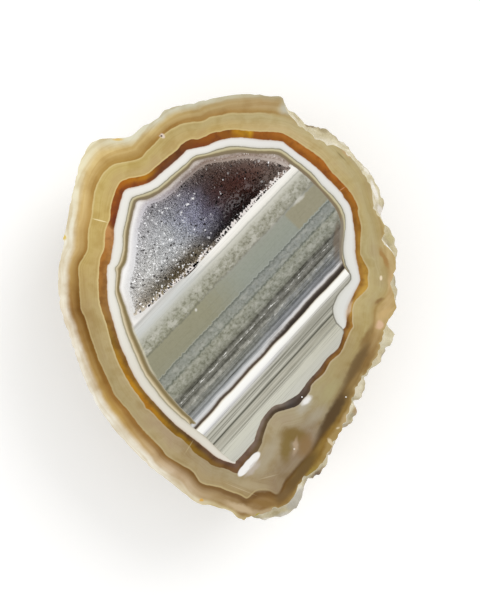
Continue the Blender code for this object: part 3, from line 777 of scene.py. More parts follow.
@dataclass(frozen=True)
class PolishedAgate:
    """Chalcedony, sawn flat and polished: glassy, with every ring crisp under the gloss."""

    roughness: float = 0.14
    ior: float = 1.54
    specular: float = 0.25
    gloss: float = 0.017  # what the polish adds to every colour under soft white light
    darkest: float = 0.002
    edge_softness: float = 0.1  # half the width of the change between two rings, in mm
    wobble: float = 0.22  # mm, how far the rings' edges stray from smooth curves
    wobble_wave: float = 1.6  # mm
    layer_tilt: float = 0.0002  # how the layers fan out, for each pixel along and across
    line_spacing: float = 0.45  # mm between the fine growth lines

    def material(self) -> bpy.types.Material:
        """Make the material.

        Returns:
            The material.
        """
        material, shader = principled("polished_banded_chalcedony", Roughness=self.roughness,
                                      IOR=self.ior, Specular_IOR_Level=self.specular)
        tree = material.node_tree
        tree.links.new(FacePattern(tree, self).colour().outputs[0], shader.inputs["Base Color"])
        return material


class FacePattern:
    """The painted rings and layers of the polished face, in millimetres."""

    def __init__(self, tree: bpy.types.NodeTree, finish: PolishedAgate) -> None:
        """Read the places and the distances that every part of the pattern uses.

        Args:
            tree: the material's tree.
            finish: the finish's sizes.
        """
        self.finish = finish
        self.tree = tree
        self.add = partial(add_node, tree)
        coordinates = self.add("TexCoord").outputs["Object"]
        flat_mm = (1.0 / MM, 1.0 / MM, 0.0)
        self.place = self.add("VectorMath", {0: coordinates, 1: flat_mm}, operation="MULTIPLY")
        self.turn = turn_round(tree, self.place)
        self.within = {}
        for number, contour in enumerate(Contour):
            stray = self.add("TexNoise", {
                "W": 3.0 * number, "Vector": self.place, "Scale": 1.0 / finish.wobble_wave,
                "Detail": 3.0, "Roughness": 0.6}, noise_dimensions="4D")
            stray = self.add("Math", {0: stray, 1: 0.5}, operation="SUBTRACT")
            distance = self.add("Attribute", attribute_name=contour.value).outputs["Fac"]
            self.within[contour] = self.add("Math", {0: stray, 1: 2.0 * finish.wobble, 2: distance},
                                            operation="MULTIPLY_ADD")

    def painted(self, base: Any, coats: Iterable[tuple[Any, Any]], blend: str = "MIX") -> Any:
        """Lay colours over a base colour.

        Args:
            base: the colour below.
            coats: how strong each coat is, and its colour.
            blend: how a coat meets what is below.

        Returns:
            The last coat.
        """
        for strength, colour in coats:
            base = self.add("Mix", {0: strength, 6: base, 7: colour}, data_type="RGBA", blend_type=blend)
        return base

    def patched(self, colour: Any, patches: Iterable[Patch]) -> Any:
        """Lay blots and streaks over a colour."""
        return lay_patches(self.tree, self.place, colour, patches)

    def by_turn(self, strength: Any, shares: Iterable[tuple[float, float]]) -> bpy.types.Node:
        """Scale a strength by its place on the turn round the stone.

        Args:
            strength: the strength.
            shares: places on the turn, with the share of the strength that is left there.

        Returns:
            The scaled strength.
        """
        left = self.add("ValToRGB", {0: self.turn}, stops=shares)
        return self.add("Math", {0: strength, 1: left}, operation="MULTIPLY")

    def share_across(self, outer: Contour, inner: Contour) -> bpy.types.Node:
        """Tell how far a place is from one outline, 0, to the next, 1.

        Args:
            outer: the ring's outer side.
            inner: its inner side.

        Returns:
            The share.
        """
        thinnest = 0.05
        width = self.add("Math", {0: self.within[outer], 1: self.within[inner]}, operation="SUBTRACT")
        width = self.add("Math", {0: width, 1: thinnest}, operation="MAXIMUM")
        return self.add("Math", {0: self.within[outer], 1: width}, operation="DIVIDE", use_clamp=True)

    def growth_lines(self, contour: Contour, spacing: float, seed: float) -> bpy.types.Node:
        """Draw fine lines that follow an outline and change slowly along it.

        Args:
            contour: the outline.
            spacing: the lines' spacing in mm.
            seed: which of many like patterns.

        Returns:
            Noise from 0 to 1.
        """
        across = self.add("Math", {0: self.within[contour], 1: 1.0 / spacing}, operation="MULTIPLY")
        place = self.add("CombineXYZ", {0: across, 2: seed})
        turning = self.add("VectorMath", {0: self.place, "Scale": 0.07}, operation="SCALE")
        place = self.add("VectorMath", {0: place, 1: turning}, operation="ADD")
        return self.add("TexNoise", {"Vector": place, "Scale": 1.0, "Detail": 2.0})

    def clouded(self, scale: float, detail: float, stops: Iterable[tuple[float, str]],
                **more: float) -> bpy.types.Node:
        """Make clouds of colour over the face.

        Args:
            scale: how many to a millimetre.
            detail: how many finer ones they hold.
            stops: the noise's values and their colours.
            more: the noise's other inputs.

        Returns:
            The colour.
        """
        cloud = self.add("TexNoise", {"Vector": self.place, "Scale": scale, "Detail": detail} | more)
        return self.add("ValToRGB", {0: cloud}, stops=stops)

    def skin(self) -> Any:
        """Paint the outermost ring: pale at the rim, partly its own colour and partly painted light shining
        through the thin translucent edge, brown farther in.

        Returns:
            The colour.
        """
        across = self.share_across(Contour.POLISHED, Contour.KHAKI)
        margin = self.add("ValToRGB", {0: self.turn}, stops=SKIN_MARGIN)
        cloudy = self.add("TexNoise", {"Vector": self.place, "Scale": 0.45, "Detail": 3.0})
        margin = self.add("Math", {0: cloudy, 1: 0.14, 2: margin}, operation="MULTIPLY_ADD")
        past = self.add("Math", {0: across, 1: margin}, operation="SUBTRACT")
        to_middle = self.add("MapRange", {0: past, 1: -0.37, 2: 0.05}, interpolation_type="SMOOTHSTEP")
        to_inner = self.add("MapRange", {0: across, 1: 0.5, 2: 0.95}, interpolation_type="SMOOTHSTEP")
        colour = self.painted(self.add("ValToRGB", {0: self.turn}, stops=SKIN_EDGE), [
            (to_middle, self.add("ValToRGB", {0: self.turn}, stops=SKIN_MIDDLE)),
            (to_inner, self.add("ValToRGB", {0: self.turn}, stops=SKIN_INNER))])
        shade = self.clouded(0.2, 5.0, ((0.35, "#dccfb8"), (0.55, "#ffffff")))
        lines = self.add("ValToRGB", {0: self.growth_lines(Contour.KHAKI, 1.1, 3.0)}, stops=(
            (0.38, "#e6dac4"), (0.56, "#ffffff")))
        return self.painted(colour, [(0.55, shade), (0.6, lines)], "MULTIPLY")

    def khaki(self) -> Any:
        """Paint the wide khaki ring, with a pale line at both sides.

        Returns:
            The colour.
        """
        across = self.share_across(Contour.KHAKI, Contour.ORANGE)
        inwards = self.add("MapRange", {0: across, 1: 0.2, 2: 0.8}, interpolation_type="SMOOTHSTEP")
        colour = self.painted(self.add("ValToRGB", {0: self.turn}, stops=KHAKI_OUTER), [
            (inwards, self.add("ValToRGB", {0: self.turn}, stops=KHAKI_INNER))])
        spacing = self.finish.line_spacing
        lines = self.painted(self.growth_lines(Contour.KHAKI, spacing, 5.0), [
            (inwards, self.growth_lines(Contour.ORANGE, spacing, 8.0))])
        lines = self.add("ValToRGB", {0: lines}, stops=(
            (0.38, "#e2d8bc"), (0.5, "#ffffff"), (0.62, "#f0e8d2")))
        shade = self.clouded(0.25, 5.0, ((0.36, "#e2d6bc"), (0.52, "#ffffff"), (0.66, "#f4ecf0")))
        colour = self.painted(colour, [(0.3, lines), (0.5, shade)], "MULTIPLY")
        outer_line = self.add("ValToRGB", {0: self.within[Contour.KHAKI]}, stops=(
            (0.0, 0.8), (0.22, 0.6), (0.42, 0.0)))
        inner_gap = self.add("Math", {0: self.within[Contour.ORANGE], 1: -1.0}, operation="MULTIPLY")
        inner_line = self.add("ValToRGB", {0: inner_gap}, stops=((0.0, 0.9), (0.2, 0.6), (0.42, 0.0)))
        return self.painted(colour, [
            (self.by_turn(outer_line, KHAKI_LINE), "#dccb96"),
            (self.by_turn(inner_line, ORANGE_LINE),
             self.add("ValToRGB", {0: self.turn}, stops=ORANGE_LINE_COLOUR))])

    def orange(self) -> Any:
        """Paint the orange ring, amber to purple brown.

        Returns:
            The colour.
        """
        across = self.share_across(Contour.ORANGE, Contour.WHITE)
        inwards = self.add("MapRange", {0: across, 1: 0.25, 2: 0.8}, interpolation_type="SMOOTHSTEP")
        colour = self.painted(self.add("ValToRGB", {0: self.turn}, stops=ORANGE_OUTER), [
            (inwards, self.add("ValToRGB", {0: self.turn}, stops=ORANGE_INNER))])
        shade = self.clouded(0.4, 4.0, ((0.36, "#b09a8c"), (0.5, "#f2e8dc"), (0.64, "#ffffff")))
        return self.painted(colour, [(0.5, shade)], "MULTIPLY")

    def level(self) -> dict[str, Any]:
        """Measure along the level layers and down through them, in pixels.

        Returns:
            The reach along them, the depth below the ledge and the depth with the fan taken out.
        """
        axes = ledge_axes(self.tree, self.place, MM)
        reach = self.add("Math", {0: axes.outputs["X"], 1: 1.0 / PIXEL_MM}, operation="MULTIPLY")
        depth = self.add("Math", {0: axes.outputs["Y"], 1: -1.0 / PIXEL_MM}, operation="MULTIPLY")
        fan = self.add("Math", {0: reach, 1: self.finish.layer_tilt, 2: 1.0}, operation="MULTIPLY_ADD")
        level = self.add("Math", {0: depth, 1: fan}, operation="MULTIPLY")
        return {"reach": reach, "depth": depth, "level": level}

    def by_depth(self, level: Any, stops: Iterable[tuple[float, Any]]) -> Any:
        """Look a colour or a strength up by its depth in the level layers.

        Args:
            level: the depth in pixels.
            stops: depths in pixels, with colours or strengths; as many as it takes.

        Returns:
            The colour or strength.
        """
        place = self.add("Math", {0: level, 1: 1.0 / LAYERS_DEPTH}, operation="MULTIPLY")
        rows = [(depth / LAYERS_DEPTH, value) for depth, value in stops]
        result = self.add("ValToRGB", {0: place}, stops=rows[:RAMP_LIMIT])
        for first in range(RAMP_LIMIT - 1, len(rows) - 1, RAMP_LIMIT - 1):
            past = self.add("Math", {0: place, 1: rows[first][0]}, operation="GREATER_THAN")
            result = self.painted(result, [
                (past, self.add("ValToRGB", {0: place}, stops=rows[first:first + RAMP_LIMIT]))])
        return result

    def stretched_noise(self, measures: dict[str, Any], along: float, across: float, **detail: float) -> Any:
        """Make noise that is drawn out along the level layers.

        Args:
            measures: the reach and the depth.
            along: how fast it changes along them, for each pixel.
            across: how fast it changes down through them, for each pixel.
            detail: the noise's own inputs.

        Returns:
            Noise from 0 to 1.
        """
        place = self.add("CombineXYZ", {0: measures["reach"], 1: measures["level"]})
        place = self.add("VectorMath", {0: place, 1: (along, across, 0.0)}, operation="MULTIPLY")
        return self.add("TexNoise", {"Vector": place, "Scale": 1.0} | detail)

    def layers(self) -> Any:
        """Paint the level layers under the ledge.

        Returns:
            The colour.
        """
        measures = self.level()
        level = measures["level"]
        jagged = self.stretched_noise(measures, 0.3, 0.06, Detail=4.0, Roughness=0.7)
        wavy = self.stretched_noise(measures, 0.04, 0.02, Detail=1.0)
        swing = 7.0  # pixels
        for unevenness, strengths in ((jagged, JAGS), (wavy, WAVES)):
            strength = self.by_depth(measures["level"], strengths)
            shift = self.add("Math", {0: unevenness, 1: 0.5}, operation="SUBTRACT")
            shift = self.add("Math", {0: shift, 1: strength}, operation="MULTIPLY")
            level = self.add("Math", {0: shift, 1: swing, 2: level}, operation="MULTIPLY_ADD")
        ragged = self.add("Math", {0: jagged, 1: 40.0, 2: measures["reach"]}, operation="MULTIPLY_ADD")
        left_end, right_end = -35.0, 25.0  # pixels along the layers, between their two colours
        to_right = self.add("MapRange", {0: ragged, 1: left_end, 2: right_end},
                            interpolation_type="SMOOTHSTEP")
        colour = self.painted(self.by_depth(level, [(depth, left) for depth, left, _ in LAYERS]), [
            (to_right, self.by_depth(level, [(depth, right) for depth, _, right in LAYERS]))])

        streaks = self.stretched_noise(measures, 0.01, 0.9, Detail=3.0, Roughness=0.7)
        streaks = self.add("ValToRGB", {0: streaks}, stops=(
            (0.34, "#7d7c75"), (0.44, "#dcdbd6"), (0.5, "#ffffff"), (0.6, "#e6e5e0"), (0.68, "#ffffff")))
        dashes = self.stretched_noise(measures, 0.12, 0.5, Detail=3.0, Roughness=0.7)
        dashes = self.add("ValToRGB", {0: dashes}, stops=((0.57, 0.0), (0.65, 1.0)))
        dashes = self.add("Math", {0: dashes, 1: self.by_depth(level, DASHES)}, operation="MULTIPLY")
        blotches = self.clouded(
            1.3, 3.0, ((0.36, "#b3b2a6"), (0.5, "#eeeee8"), (0.58, "#ffffff")), Roughness=0.6)
        lumps = self.stretched_noise(measures, 0.1, 0.17, Detail=3.0, Roughness=0.6)
        lumps = self.add("ValToRGB", {0: lumps}, stops=((0.49, 0.0), (0.62, 1.0)))
        lumps = self.add("Math", {0: lumps, 1: self.by_depth(level, LUMPS)}, operation="MULTIPLY")
        block_from, block_full = 70.0, 73.0
        olive = self.add("MapRange", {0: measures["reach"], 1: block_from, 2: block_full, 4: 0.8})
        olive = self.add("Math", {0: olive, 1: self.by_depth(level, OLIVE)}, operation="MULTIPLY")
        colour = self.painted(colour, [(olive, "#989178")])
        colour = self.painted(colour, [
            (self.by_depth(level, STREAKS), streaks), (self.by_depth(level, MOTTLING), blotches)],
            "MULTIPLY")
        halo = self.add("MapRange", {0: self.within[Contour.HEART], 1: 0.5, 2: 0.15})
        above_ledge = self.add("MapRange", {0: measures["depth"], 1: 0.5, 2: -1.0})
        return self.painted(colour, [
            (lumps, "#cac8bd"), (dashes, "#edece6"), (self.by_turn(halo, HEART_HALO), "#cbc4aa"),
            (above_ledge, self.margin())])

    def margin(self) -> Any:
        """Paint the pale sugary margin between the cream ring and the pocket, with painted glints.

        Returns:
            The colour.
        """
        rim = self.add("MapRange", {0: self.within[Contour.POCKET], 1: -1.3, 2: -0.1},
                       interpolation_type="SMOOTHSTEP")
        colour = self.painted(self.add("ValToRGB", {0: self.turn}, stops=MARGIN), [
            (rim, self.add("ValToRGB", {0: self.turn}, stops=POCKET_RIM_COLOURS))])
        inwards = self.add("ValToRGB", {0: self.within[Contour.HEART]}, stops=(
            (0.0, "#c9bfb4"), (0.5, "#ffffff")))
        sugar = self.clouded(
            2.4, 3.0, ((0.36, "#a89a90"), (0.48, "#e6e0dc"), (0.6, "#ffffff")), Roughness=0.7)
        by_pocket = self.add("MapRange", {0: self.within[Contour.POCKET], 1: -1.6, 2: -0.3})
        by_pocket = self.by_turn(by_pocket, SUGAR)
        # Painted glints: small pale spots by the pocket stand in for light caught by tiny crystals.
        painted_glints = self.add("TexVoronoi", {"Vector": self.place, "Scale": 1.4})
        painted_glints = self.add("ValToRGB", {0: painted_glints.outputs["Distance"]}, stops=((0.1, 0.9), (0.22, 0.0)))
        painted_glints = self.add("Math", {0: painted_glints, 1: by_pocket}, operation="MULTIPLY")
        colour = self.painted(colour, [(0.9, inwards), (by_pocket, sugar)], "MULTIPLY")
        return self.painted(colour, [(painted_glints, "#f6f1ea")])

    def colour(self) -> bpy.types.Node:
        """Put the rings together, from the rim to the heart.

        Returns:
            The colour of the face.
        """
        soft = self.finish.edge_softness
        white = self.add("ValToRGB", {0: self.share_across(Contour.WHITE, Contour.CREAM)}, stops=WHITE_ACROSS)
        tint = self.add("ValToRGB", {0: self.turn}, stops=WHITE_TINT)
        white = self.painted(white, [(1.0, tint)], "MULTIPLY")
        share = self.share_across(Contour.CREAM, Contour.HEART)
        leftwards = self.add("ValToRGB", {0: self.turn}, stops=(
            (0.0, 1.0), (0.3, 1.0), (0.4, 0.0), (0.86, 0.0), (0.93, 1.0)))
        cream = self.painted(self.add("ValToRGB", {0: share}, stops=CREAM_TOP), [
            (leftwards, self.add("ValToRGB", {0: share}, stops=CREAM_LEFT))])
        softness = self.add("ValToRGB", {0: self.turn}, stops=KHAKI_SOFTNESS)
        outward = self.add("Math", {0: softness, 1: -1.0}, operation="MULTIPLY")
        beyond = self.add("MapRange", {0: self.within[Contour.KHAKI], 1: outward, 2: softness},
                          interpolation_type="SMOOTHSTEP")
        result = self.patched(self.painted(self.skin(), [(beyond, self.khaki())]), OUTER_PATCHES)
        rings = ((Contour.ORANGE, self.orange()), (Contour.WHITE, white), (Contour.CREAM, cream),
                 (Contour.HEART, self.layers()))
        for contour, colour in rings:
            beyond = self.add("MapRange", {0: self.within[contour], 1: -soft, 2: soft},
                              interpolation_type="SMOOTHSTEP")
            result = self.painted(result, [(beyond, colour)])
        line = self.add("Math", {0: self.within[Contour.CREAM]}, operation="ABSOLUTE")
        line = self.add("MapRange", {0: line, 1: 0.24, 2: 0.04})
        line = self.by_turn(line, BULGE_LINE)
        result = self.patched(self.painted(result, [(line, "#6f6c62")]), TOP_PATCHES)
        # The gloss adds the same pale light to every ring, so it is first taken off the dark ones.
        gloss = self.finish.gloss
        result = self.add("VectorMath", {0: result, 1: (gloss, gloss, gloss)}, operation="SUBTRACT")
        result = self.add("VectorMath", {0: result, "Scale": 1.0 / (1.0 - gloss)}, operation="SCALE")
        return self.add("VectorMath", {0: result, 1: (self.finish.darkest,) * 3}, operation="MAXIMUM")


# Flakes, bright edges and brown patches of the rind, where it stands past the polished edge.
RIND_PATCHES = (
    Patch((298, 110), (7, 5), "#cfc9b4", strength=0.8),
    Patch((312, 122), (8, 4), "#9a8a66", strength=0.8),
    Patch((330, 128), (10, 4), "#c6bea2", -35, 0.8),
    Patch((343, 140), (8, 4), "#e4ddc9", -45, 0.9),
    Patch((355, 155), (10, 3.5), "#c6b892", -48, 0.8),
    Patch((367, 169), (9, 3), "#e9e4d6", -50, 0.9),
    Patch((375, 190), (14, 3.5), "#e6e1d6", -72, 0.95, 0.4),
    Patch((382, 212), (12, 4), "#ddd6cc", -62, 0.95, 0.4),
    Patch((388, 224), (5, 1.0), "#ffffff", -38, 0.95, 0.4),
    Patch((391, 238), (8, 6), "#b5a878", -60, 0.9, 0.4),
    Patch((390, 249), (9, 1.1), "#ffffff", -52, 0.95, 0.4),
    Patch((399, 275), (14, 3), "#e9e5da", 88, 0.9),
    Patch((395, 299), (8, 1.0), "#f8f4ea", -68, 0.95, 0.4),
    Patch((397, 330), (12, 4), "#dbd5c5", -80, 0.8),
    Patch((380, 357), (12, 7), "#cdbf9c", 50, 0.8),
    Patch((367, 392), (8, 6), "#b49f78", 60, 0.9),
    Patch((358, 410), (8, 6), "#a08458", 60, 0.95, 0.4),
    Patch((348, 432), (12, 8), "#967a4c", 60, 0.95, 0.5),
    Patch((336, 455), (14, 9), "#94784c", 60, 0.95, 0.5),
    Patch((320, 478), (15, 10), "#6c5334", 50, 0.95, 0.5),
    Patch((324, 470), (6, 3), "#b29a6a", 40, 0.8),
    Patch((297, 500), (18, 9), "#b2ac9e", 55, 0.9, 0.5),
    Patch((284, 516), (10, 5), "#cbc6b8", 20, 0.9),
    Patch((266, 521), (12, 3), "#ece6d8", 5, 0.9),
)


@dataclass(frozen=True)
class RoughRind:
    """The nodule's weathered skin: a dull, pitted crust, glassy and pale where it is chipped."""

    roughness: float = 0.75
    chipped_roughness: float = 0.4
    lump: float = 4.0  # mm, the patches of colour
    grit: float = 0.35  # mm, the sandy grain
    chipped_from: tuple[float, float] = (28.0, 34.0)  # mm up the side: none is chipped, and all is
    pale_from: tuple[float, float] = (34.6, 35.6)  # and how it pales under the polished edge
    pale: str = "#e0d8c2"

    def material(self) -> bpy.types.Material:
        """Make the material.

        Returns:
            The material.
        """
        material, shader = principled("weathered_chalcedony_rind")
        tree = material.node_tree
        add = partial(add_node, tree)
        coordinates = add("TexCoord").outputs["Object"]
        place = add("VectorMath", {0: coordinates, "Scale": 1.0 / MM}, operation="SCALE")
        height = add("SeparateXYZ", {0: place}).outputs["Z"]
        fresh = add("MapRange", {0: height, 1: self.chipped_from[0], 2: self.chipped_from[1]},
                    interpolation_type="SMOOTHSTEP")
        patches = add("TexNoise", {"Vector": place, "Scale": 1.0 / self.lump, "Detail": 5.0})
        old = add("ValToRGB", {0: patches}, stops=(
            (0.3, "#5f4e38"), (0.45, "#8c7856"), (0.58, "#a8966c"), (0.72, "#c2b48c")))
        new = add("ValToRGB", {0: patches}, stops=(
            (0.32, "#a3946c"), (0.45, "#bdb08a"), (0.58, "#cfc5a4"), (0.7, "#e2dcc8")))
        by_edge = add("MapRange", {0: height, 1: self.pale_from[0], 2: self.pale_from[1], 4: 0.7})
        new = add("Mix", {0: by_edge, 6: new, 7: self.pale}, data_type="RGBA")
        new = lay_patches(tree, place, new, RIND_PATCHES)
        colour = add("Mix", {0: fresh, 6: old, 7: new}, data_type="RGBA")
        grit = add("TexNoise", {"Vector": place, "Scale": 1.0 / self.grit, "Detail": 3.0})
        dusty = add("ValToRGB", {0: grit}, stops=((0.3, "#a09684"), (0.55, "#ffffff")))
        dust = add("MapRange", {0: fresh, 3: 0.6, 4: 0.2})
        colour = add("Mix", {0: dust, 6: colour, 7: dusty}, data_type="RGBA", blend_type="MULTIPLY")
        dull = add("MapRange", {0: fresh, 3: self.roughness, 4: self.chipped_roughness})
        tree.links.new(dull.outputs[0], shader.inputs["Roughness"])
        bump = add("Bump", {"Height": grit, "Strength": 0.5, "Distance": 0.2 * MM})
        tree.links.new(colour.outputs[2], shader.inputs["Base Color"])
        tree.links.new(bump.outputs[0], shader.inputs["Normal"])
        return material


@dataclass(frozen=True)
class PocketColours:
    """The grey to maroon quartz in the pocket by place along the ledge and off it, with painted shade."""

    half_length: float = 100.0  # of the ledge, in pixels of the photograph
    ledge_colour_and_shade_within: tuple[float, float] = (27.0, 4.0)  # pixels off the ledge: none, and all
    stray_along: float = 0.16  # how far the colours stray from straight lines
    stray_off: float = 14.0  # pixels
    # Away from the ledge: pale grey to blue grey, then maroon, which is partly the quartz's own smoky colour
    # and partly painted shade.
    open_side: tuple = (
        (0.05, "#f2f0ec"), (0.2, "#f6f6f4"), (0.38, "#f2f4f6"), (0.48, "#dcdfea"), (0.56, "#c6c6da"),
        (0.62, "#9c96aa"), (0.68, "#7a686e"), (0.76, "#704c44"), (0.86, "#724a42"), (0.95, "#906e62"))
    # By the ledge: brown at the left end, then painted shade, near black, under the ledge farther right.
    ledge_colour_and_shade: tuple = (
        (0.05, "#c0b4a0"), (0.15, "#8a7c5c"), (0.28, "#847458"), (0.4, "#a0937c"), (0.47, "#968a78"),
        (0.54, "#544a42"), (0.62, "#281e1c"), (0.74, "#241614"), (0.85, "#462e28"), (0.95, "#8c7a70"))

    def colour(self, tree: bpy.types.NodeTree) -> Any:
        """Paint the pocket by place.

        Args:
            tree: the material's tree.

        Returns:
            The colour.
        """
        add = partial(add_node, tree)
        coordinates = add("TexCoord").outputs["Object"]
        place = add("VectorMath", {0: coordinates, "Scale": 1.0 / PHOTO.pixel}, operation="SCALE")
        axes = ledge_axes(tree, place, PHOTO.pixel)
        share = add("MapRange", {0: axes.outputs["X"], 1: -self.half_length, 2: self.half_length})
        cloud = add("TexNoise", {"Vector": place, "Scale": 0.05, "Detail": 2.0})
        cloud = add("Math", {0: cloud, 1: 0.5}, operation="SUBTRACT")
        share = add("Math", {0: cloud, 1: self.stray_along, 2: share}, operation="MULTIPLY_ADD")
        off = add("Math", {0: cloud, 1: self.stray_off, 2: axes.outputs["Y"]}, operation="MULTIPLY_ADD")
        # Painted shade: near the ledge the colours go over to the dark ones under it.
        near = add("MapRange", {0: off, 1: self.ledge_colour_and_shade_within[0], 2: self.ledge_colour_and_shade_within[1]},
                   interpolation_type="SMOOTHSTEP")
        return add("Mix", {
            0: near, 6: add("ValToRGB", {0: share}, stops=self.open_side),
            7: add("ValToRGB", {0: share}, stops=self.ledge_colour_and_shade)}, data_type="RGBA")


@dataclass(frozen=True)
class DrusyQuartz:
    """A crust of small quartz points: glassy faces over a smoky grey ground; the sparkle is partly painted
    glints, and a few dark specks are painted shade.
    """

    roughness: float = 0.1
    ior: float = 1.544
    transmission: float = 0.05
    painted_glint: float = 0.25  # how much the painted glints glow: random crystals are painted white and given a little emission
    glints_missing: tuple = ((0.66, 0.05), (0.78, 0.052), (0.82, 0.025), (0.88, 0.0))  # by turn

    def material(self) -> bpy.types.Material:
        """Make the material.

        Returns:
            The material.
        """
        material, shader = principled("drusy_quartz", Roughness=self.roughness, IOR=self.ior,
                                      Transmission_Weight=self.transmission)
        tree = material.node_tree
        add = partial(add_node, tree)
        turn = turn_round(tree, add("TexCoord").outputs["Object"])
        near_rim = add("Attribute", attribute_name="near_rim").outputs["Fac"]
        colour = add("Mix", {
            0: near_rim, 6: PocketColours().colour(tree),
            7: add("ValToRGB", {0: turn}, stops=POCKET_RIM_COLOURS)}, data_type="RGBA")
        chance = add("Attribute", attribute_name="crystal_chance").outputs["Fac"]
        # The crystals differ a little in tone at random; the few darkest are painted shade, standing in for
        # facets that lie in shade.
        shade = add("ValToRGB", {0: chance}, stops=(
            (0.0, "#4a4646"), (0.035, "#7a7676"), (0.05, "#dadada"), (0.5, "#ffffff")))
        colour = add("Mix", {0: 1.0, 6: colour, 7: shade}, data_type="RGBA", blend_type="MULTIPLY")
        # Painted glints: a few random crystals, fewer at the maroon end, are made white and glow a little.
        rarer = add("ValToRGB", {0: turn}, stops=self.glints_missing)
        painted_glint = add("Math", {0: chance, 1: rarer}, operation="SUBTRACT")
        painted_glint = add("MapRange", {0: painted_glint, 1: 0.93, 2: 0.945})
        colour = add("Mix", {0: painted_glint, 6: colour, 7: "#ffffff"}, data_type="RGBA")
        fringe = add("Attribute", attribute_name="ledge_fringe").outputs["Fac"]
        colour = add("Mix", {0: fringe, 6: colour, 7: "#e9e2dd"}, data_type="RGBA")
        tree.links.new(colour.outputs[2], shader.inputs["Base Color"])
        glint_glow = add("Math", {0: painted_glint, 1: self.painted_glint}, operation="MULTIPLY")
        tree.links.new(glint_glow.outputs[0], shader.inputs["Emission Strength"])
        return material


@dataclass(frozen=True)
class PocketWall:
    """The bare quartz wall behind the crust: dull, in the crust's colours with their painted shade."""

    roughness: float = 0.5

    def material(self) -> bpy.types.Material:
        """Make the material.

        Returns:
            The material.
        """
        material, shader = principled("massive_quartz_wall", Roughness=self.roughness)
        tree = material.node_tree
        tree.links.new(PocketColours().colour(tree).outputs[2], shader.inputs["Base Color"])
        return material


@dataclass
class Pocket:
    """The open pocket. A place in it has a share along the ledge and a share across.

    Across runs from the ledge, 0, down the steep side and up the bowl to the rim, 1.
    """

    top: float = 36.0 * MM
    depth: float = 16.0 * MM
    steepness: float = 1.0  # the greatest depth for each metre of width
    end_power: float = 0.9  # how bluntly the depth falls off to both ends
    wall_share: float = 0.24  # of the width, for the steep side under the ledge
    wall_power: float = 3.2  # 2 would be round, and more is squarer
    bowl_power: float = 2.1
    end_room: float = 1.6  # how much farther in an inset lies at the ends
    end_room_power: int = 3
    widest_inset: float = 0.45  # of the width
    columns: int = 90
    bends: int = 33  # points on each side of a cross-section
    ledge: np.ndarray = field(init=False)
    rim: np.ndarray = field(init=False)
    length: float = field(init=False)

    def __post_init__(self) -> None:
        """Draw the pocket's two sides."""
        self.ledge = smooth_path(PHOTO.flat(LEDGE), closed=False)
        self.rim = smooth_path(PHOTO.flat(POCKET_RIM), closed=False)
        self.length = float(np.linalg.norm(self.ledge[-1] - self.ledge[0]))
        self.sides: dict[tuple[float, float], tuple] = {}

    def section(self, share: float, inset: float) -> tuple:
        """Cut across the pocket.

        Args:
            share: how far along the ledge.
            inset: how far inside the wall, in metres.

        Returns:
            Start, direction, distances, depths and lengths of the cross-section.
        """
        key = (round(share, 6), inset)
        if key not in self.sides:
            start, end = along(self.ledge, share), along(self.rim, share)
            full = float(np.linalg.norm(end - start))
            towards = (end - start) / max(full, 1e-9)
            fall = max(math.sin(math.pi * share), 0.0) ** self.end_power
            to_end = abs(2.0 * share - 1.0) ** self.end_room_power
            slanted = min(inset * (1.0 + self.end_room * to_end), self.widest_inset * full)
            width = full - 2.0 * slanted
            depth = max(min(self.depth * fall, self.steepness * full) - slanted, 0.0)
            turn = np.linspace(0.0, 0.5 * math.pi, self.bends)
            steep, bowl = self.wall_share * width, (1.0 - self.wall_share) * width
            wall, round_bowl = 2 / self.wall_power, 2 / self.bowl_power
            down = (steep * (1.0 - np.cos(turn) ** wall), np.sin(turn) ** wall)
            rise = (steep + bowl * np.cos(turn) ** round_bowl, np.sin(turn) ** round_bowl)
            across = np.concatenate((down[0], rise[0][-2::-1]))
            depths = depth * np.concatenate((down[1], rise[1][-2::-1]))
            stops = np.concatenate(([0.0], np.cumsum(np.hypot(np.diff(across), np.diff(depths)))))
            self.sides[key] = (start + towards * slanted, towards, across, depths, stops)
        return self.sides[key]

    def place(self, share: float, over: float, inset: float) -> Vector:
        """Find a place in the pocket.

        Args:
            share: how far along the ledge.
            over: how far over the surface.
            inset: how far inside the wall, in metres.

        Returns:
            The point, in metres.
        """
        start, towards, across, depths, stops = self.section(share, inset)
        stop = over * stops[-1]
        flat = start + towards * np.interp(stop, stops, across)
        return Vector((flat[0], flat[1], self.top - np.interp(stop, stops, depths)))

    def rolled_out(self, share: float, over: float) -> np.ndarray:
        """Where a place lies on the surface when it is rolled out flat, in metres."""
        return np.array((share * self.length, over * self.section(share, 0.0)[4][-1]))

    def border(self, skipped: int = 0) -> list[tuple[float, float]]:
        """Go round the surface.

        Args:
            skipped: columns left out at both pointed ends.

        Returns:
            The shares along and over of each border point.
        """
        columns = [step / self.columns for step in range(skipped, self.columns - skipped + 1)]
        across = [0.25, 0.5, 0.75] if skipped else []
        ends = columns if skipped else columns[1:-1]
        shares = [(share, 0.0) for share in columns] + [(columns[-1], over) for over in across]
        shares += [(share, 1.0) for share in reversed(ends)]
        return shares + [(columns[0], over) for over in reversed(across)]

    def surface(self, border: Sequence[tuple[float, float]], spacing: float) -> tuple[list, list]:
        """Cover the surface with triangles.

        Args:
            border: shares round it.
            spacing: metres between points within it.

        Returns:
            The triangles, and the shares of every corner with the border first.
        """
        loop = np.array([self.rolled_out(*shares) for shares in border])
        dots = lattice(loop, [], spacing)
        corners = list(border)
        for dot in dots:
            share = min(max(dot[0] / self.length, 0.0), 1.0)
            corners.append((share, dot[1] / max(self.section(share, 0.0)[4][-1], 1e-9)))
        return fill([loop], dots), corners


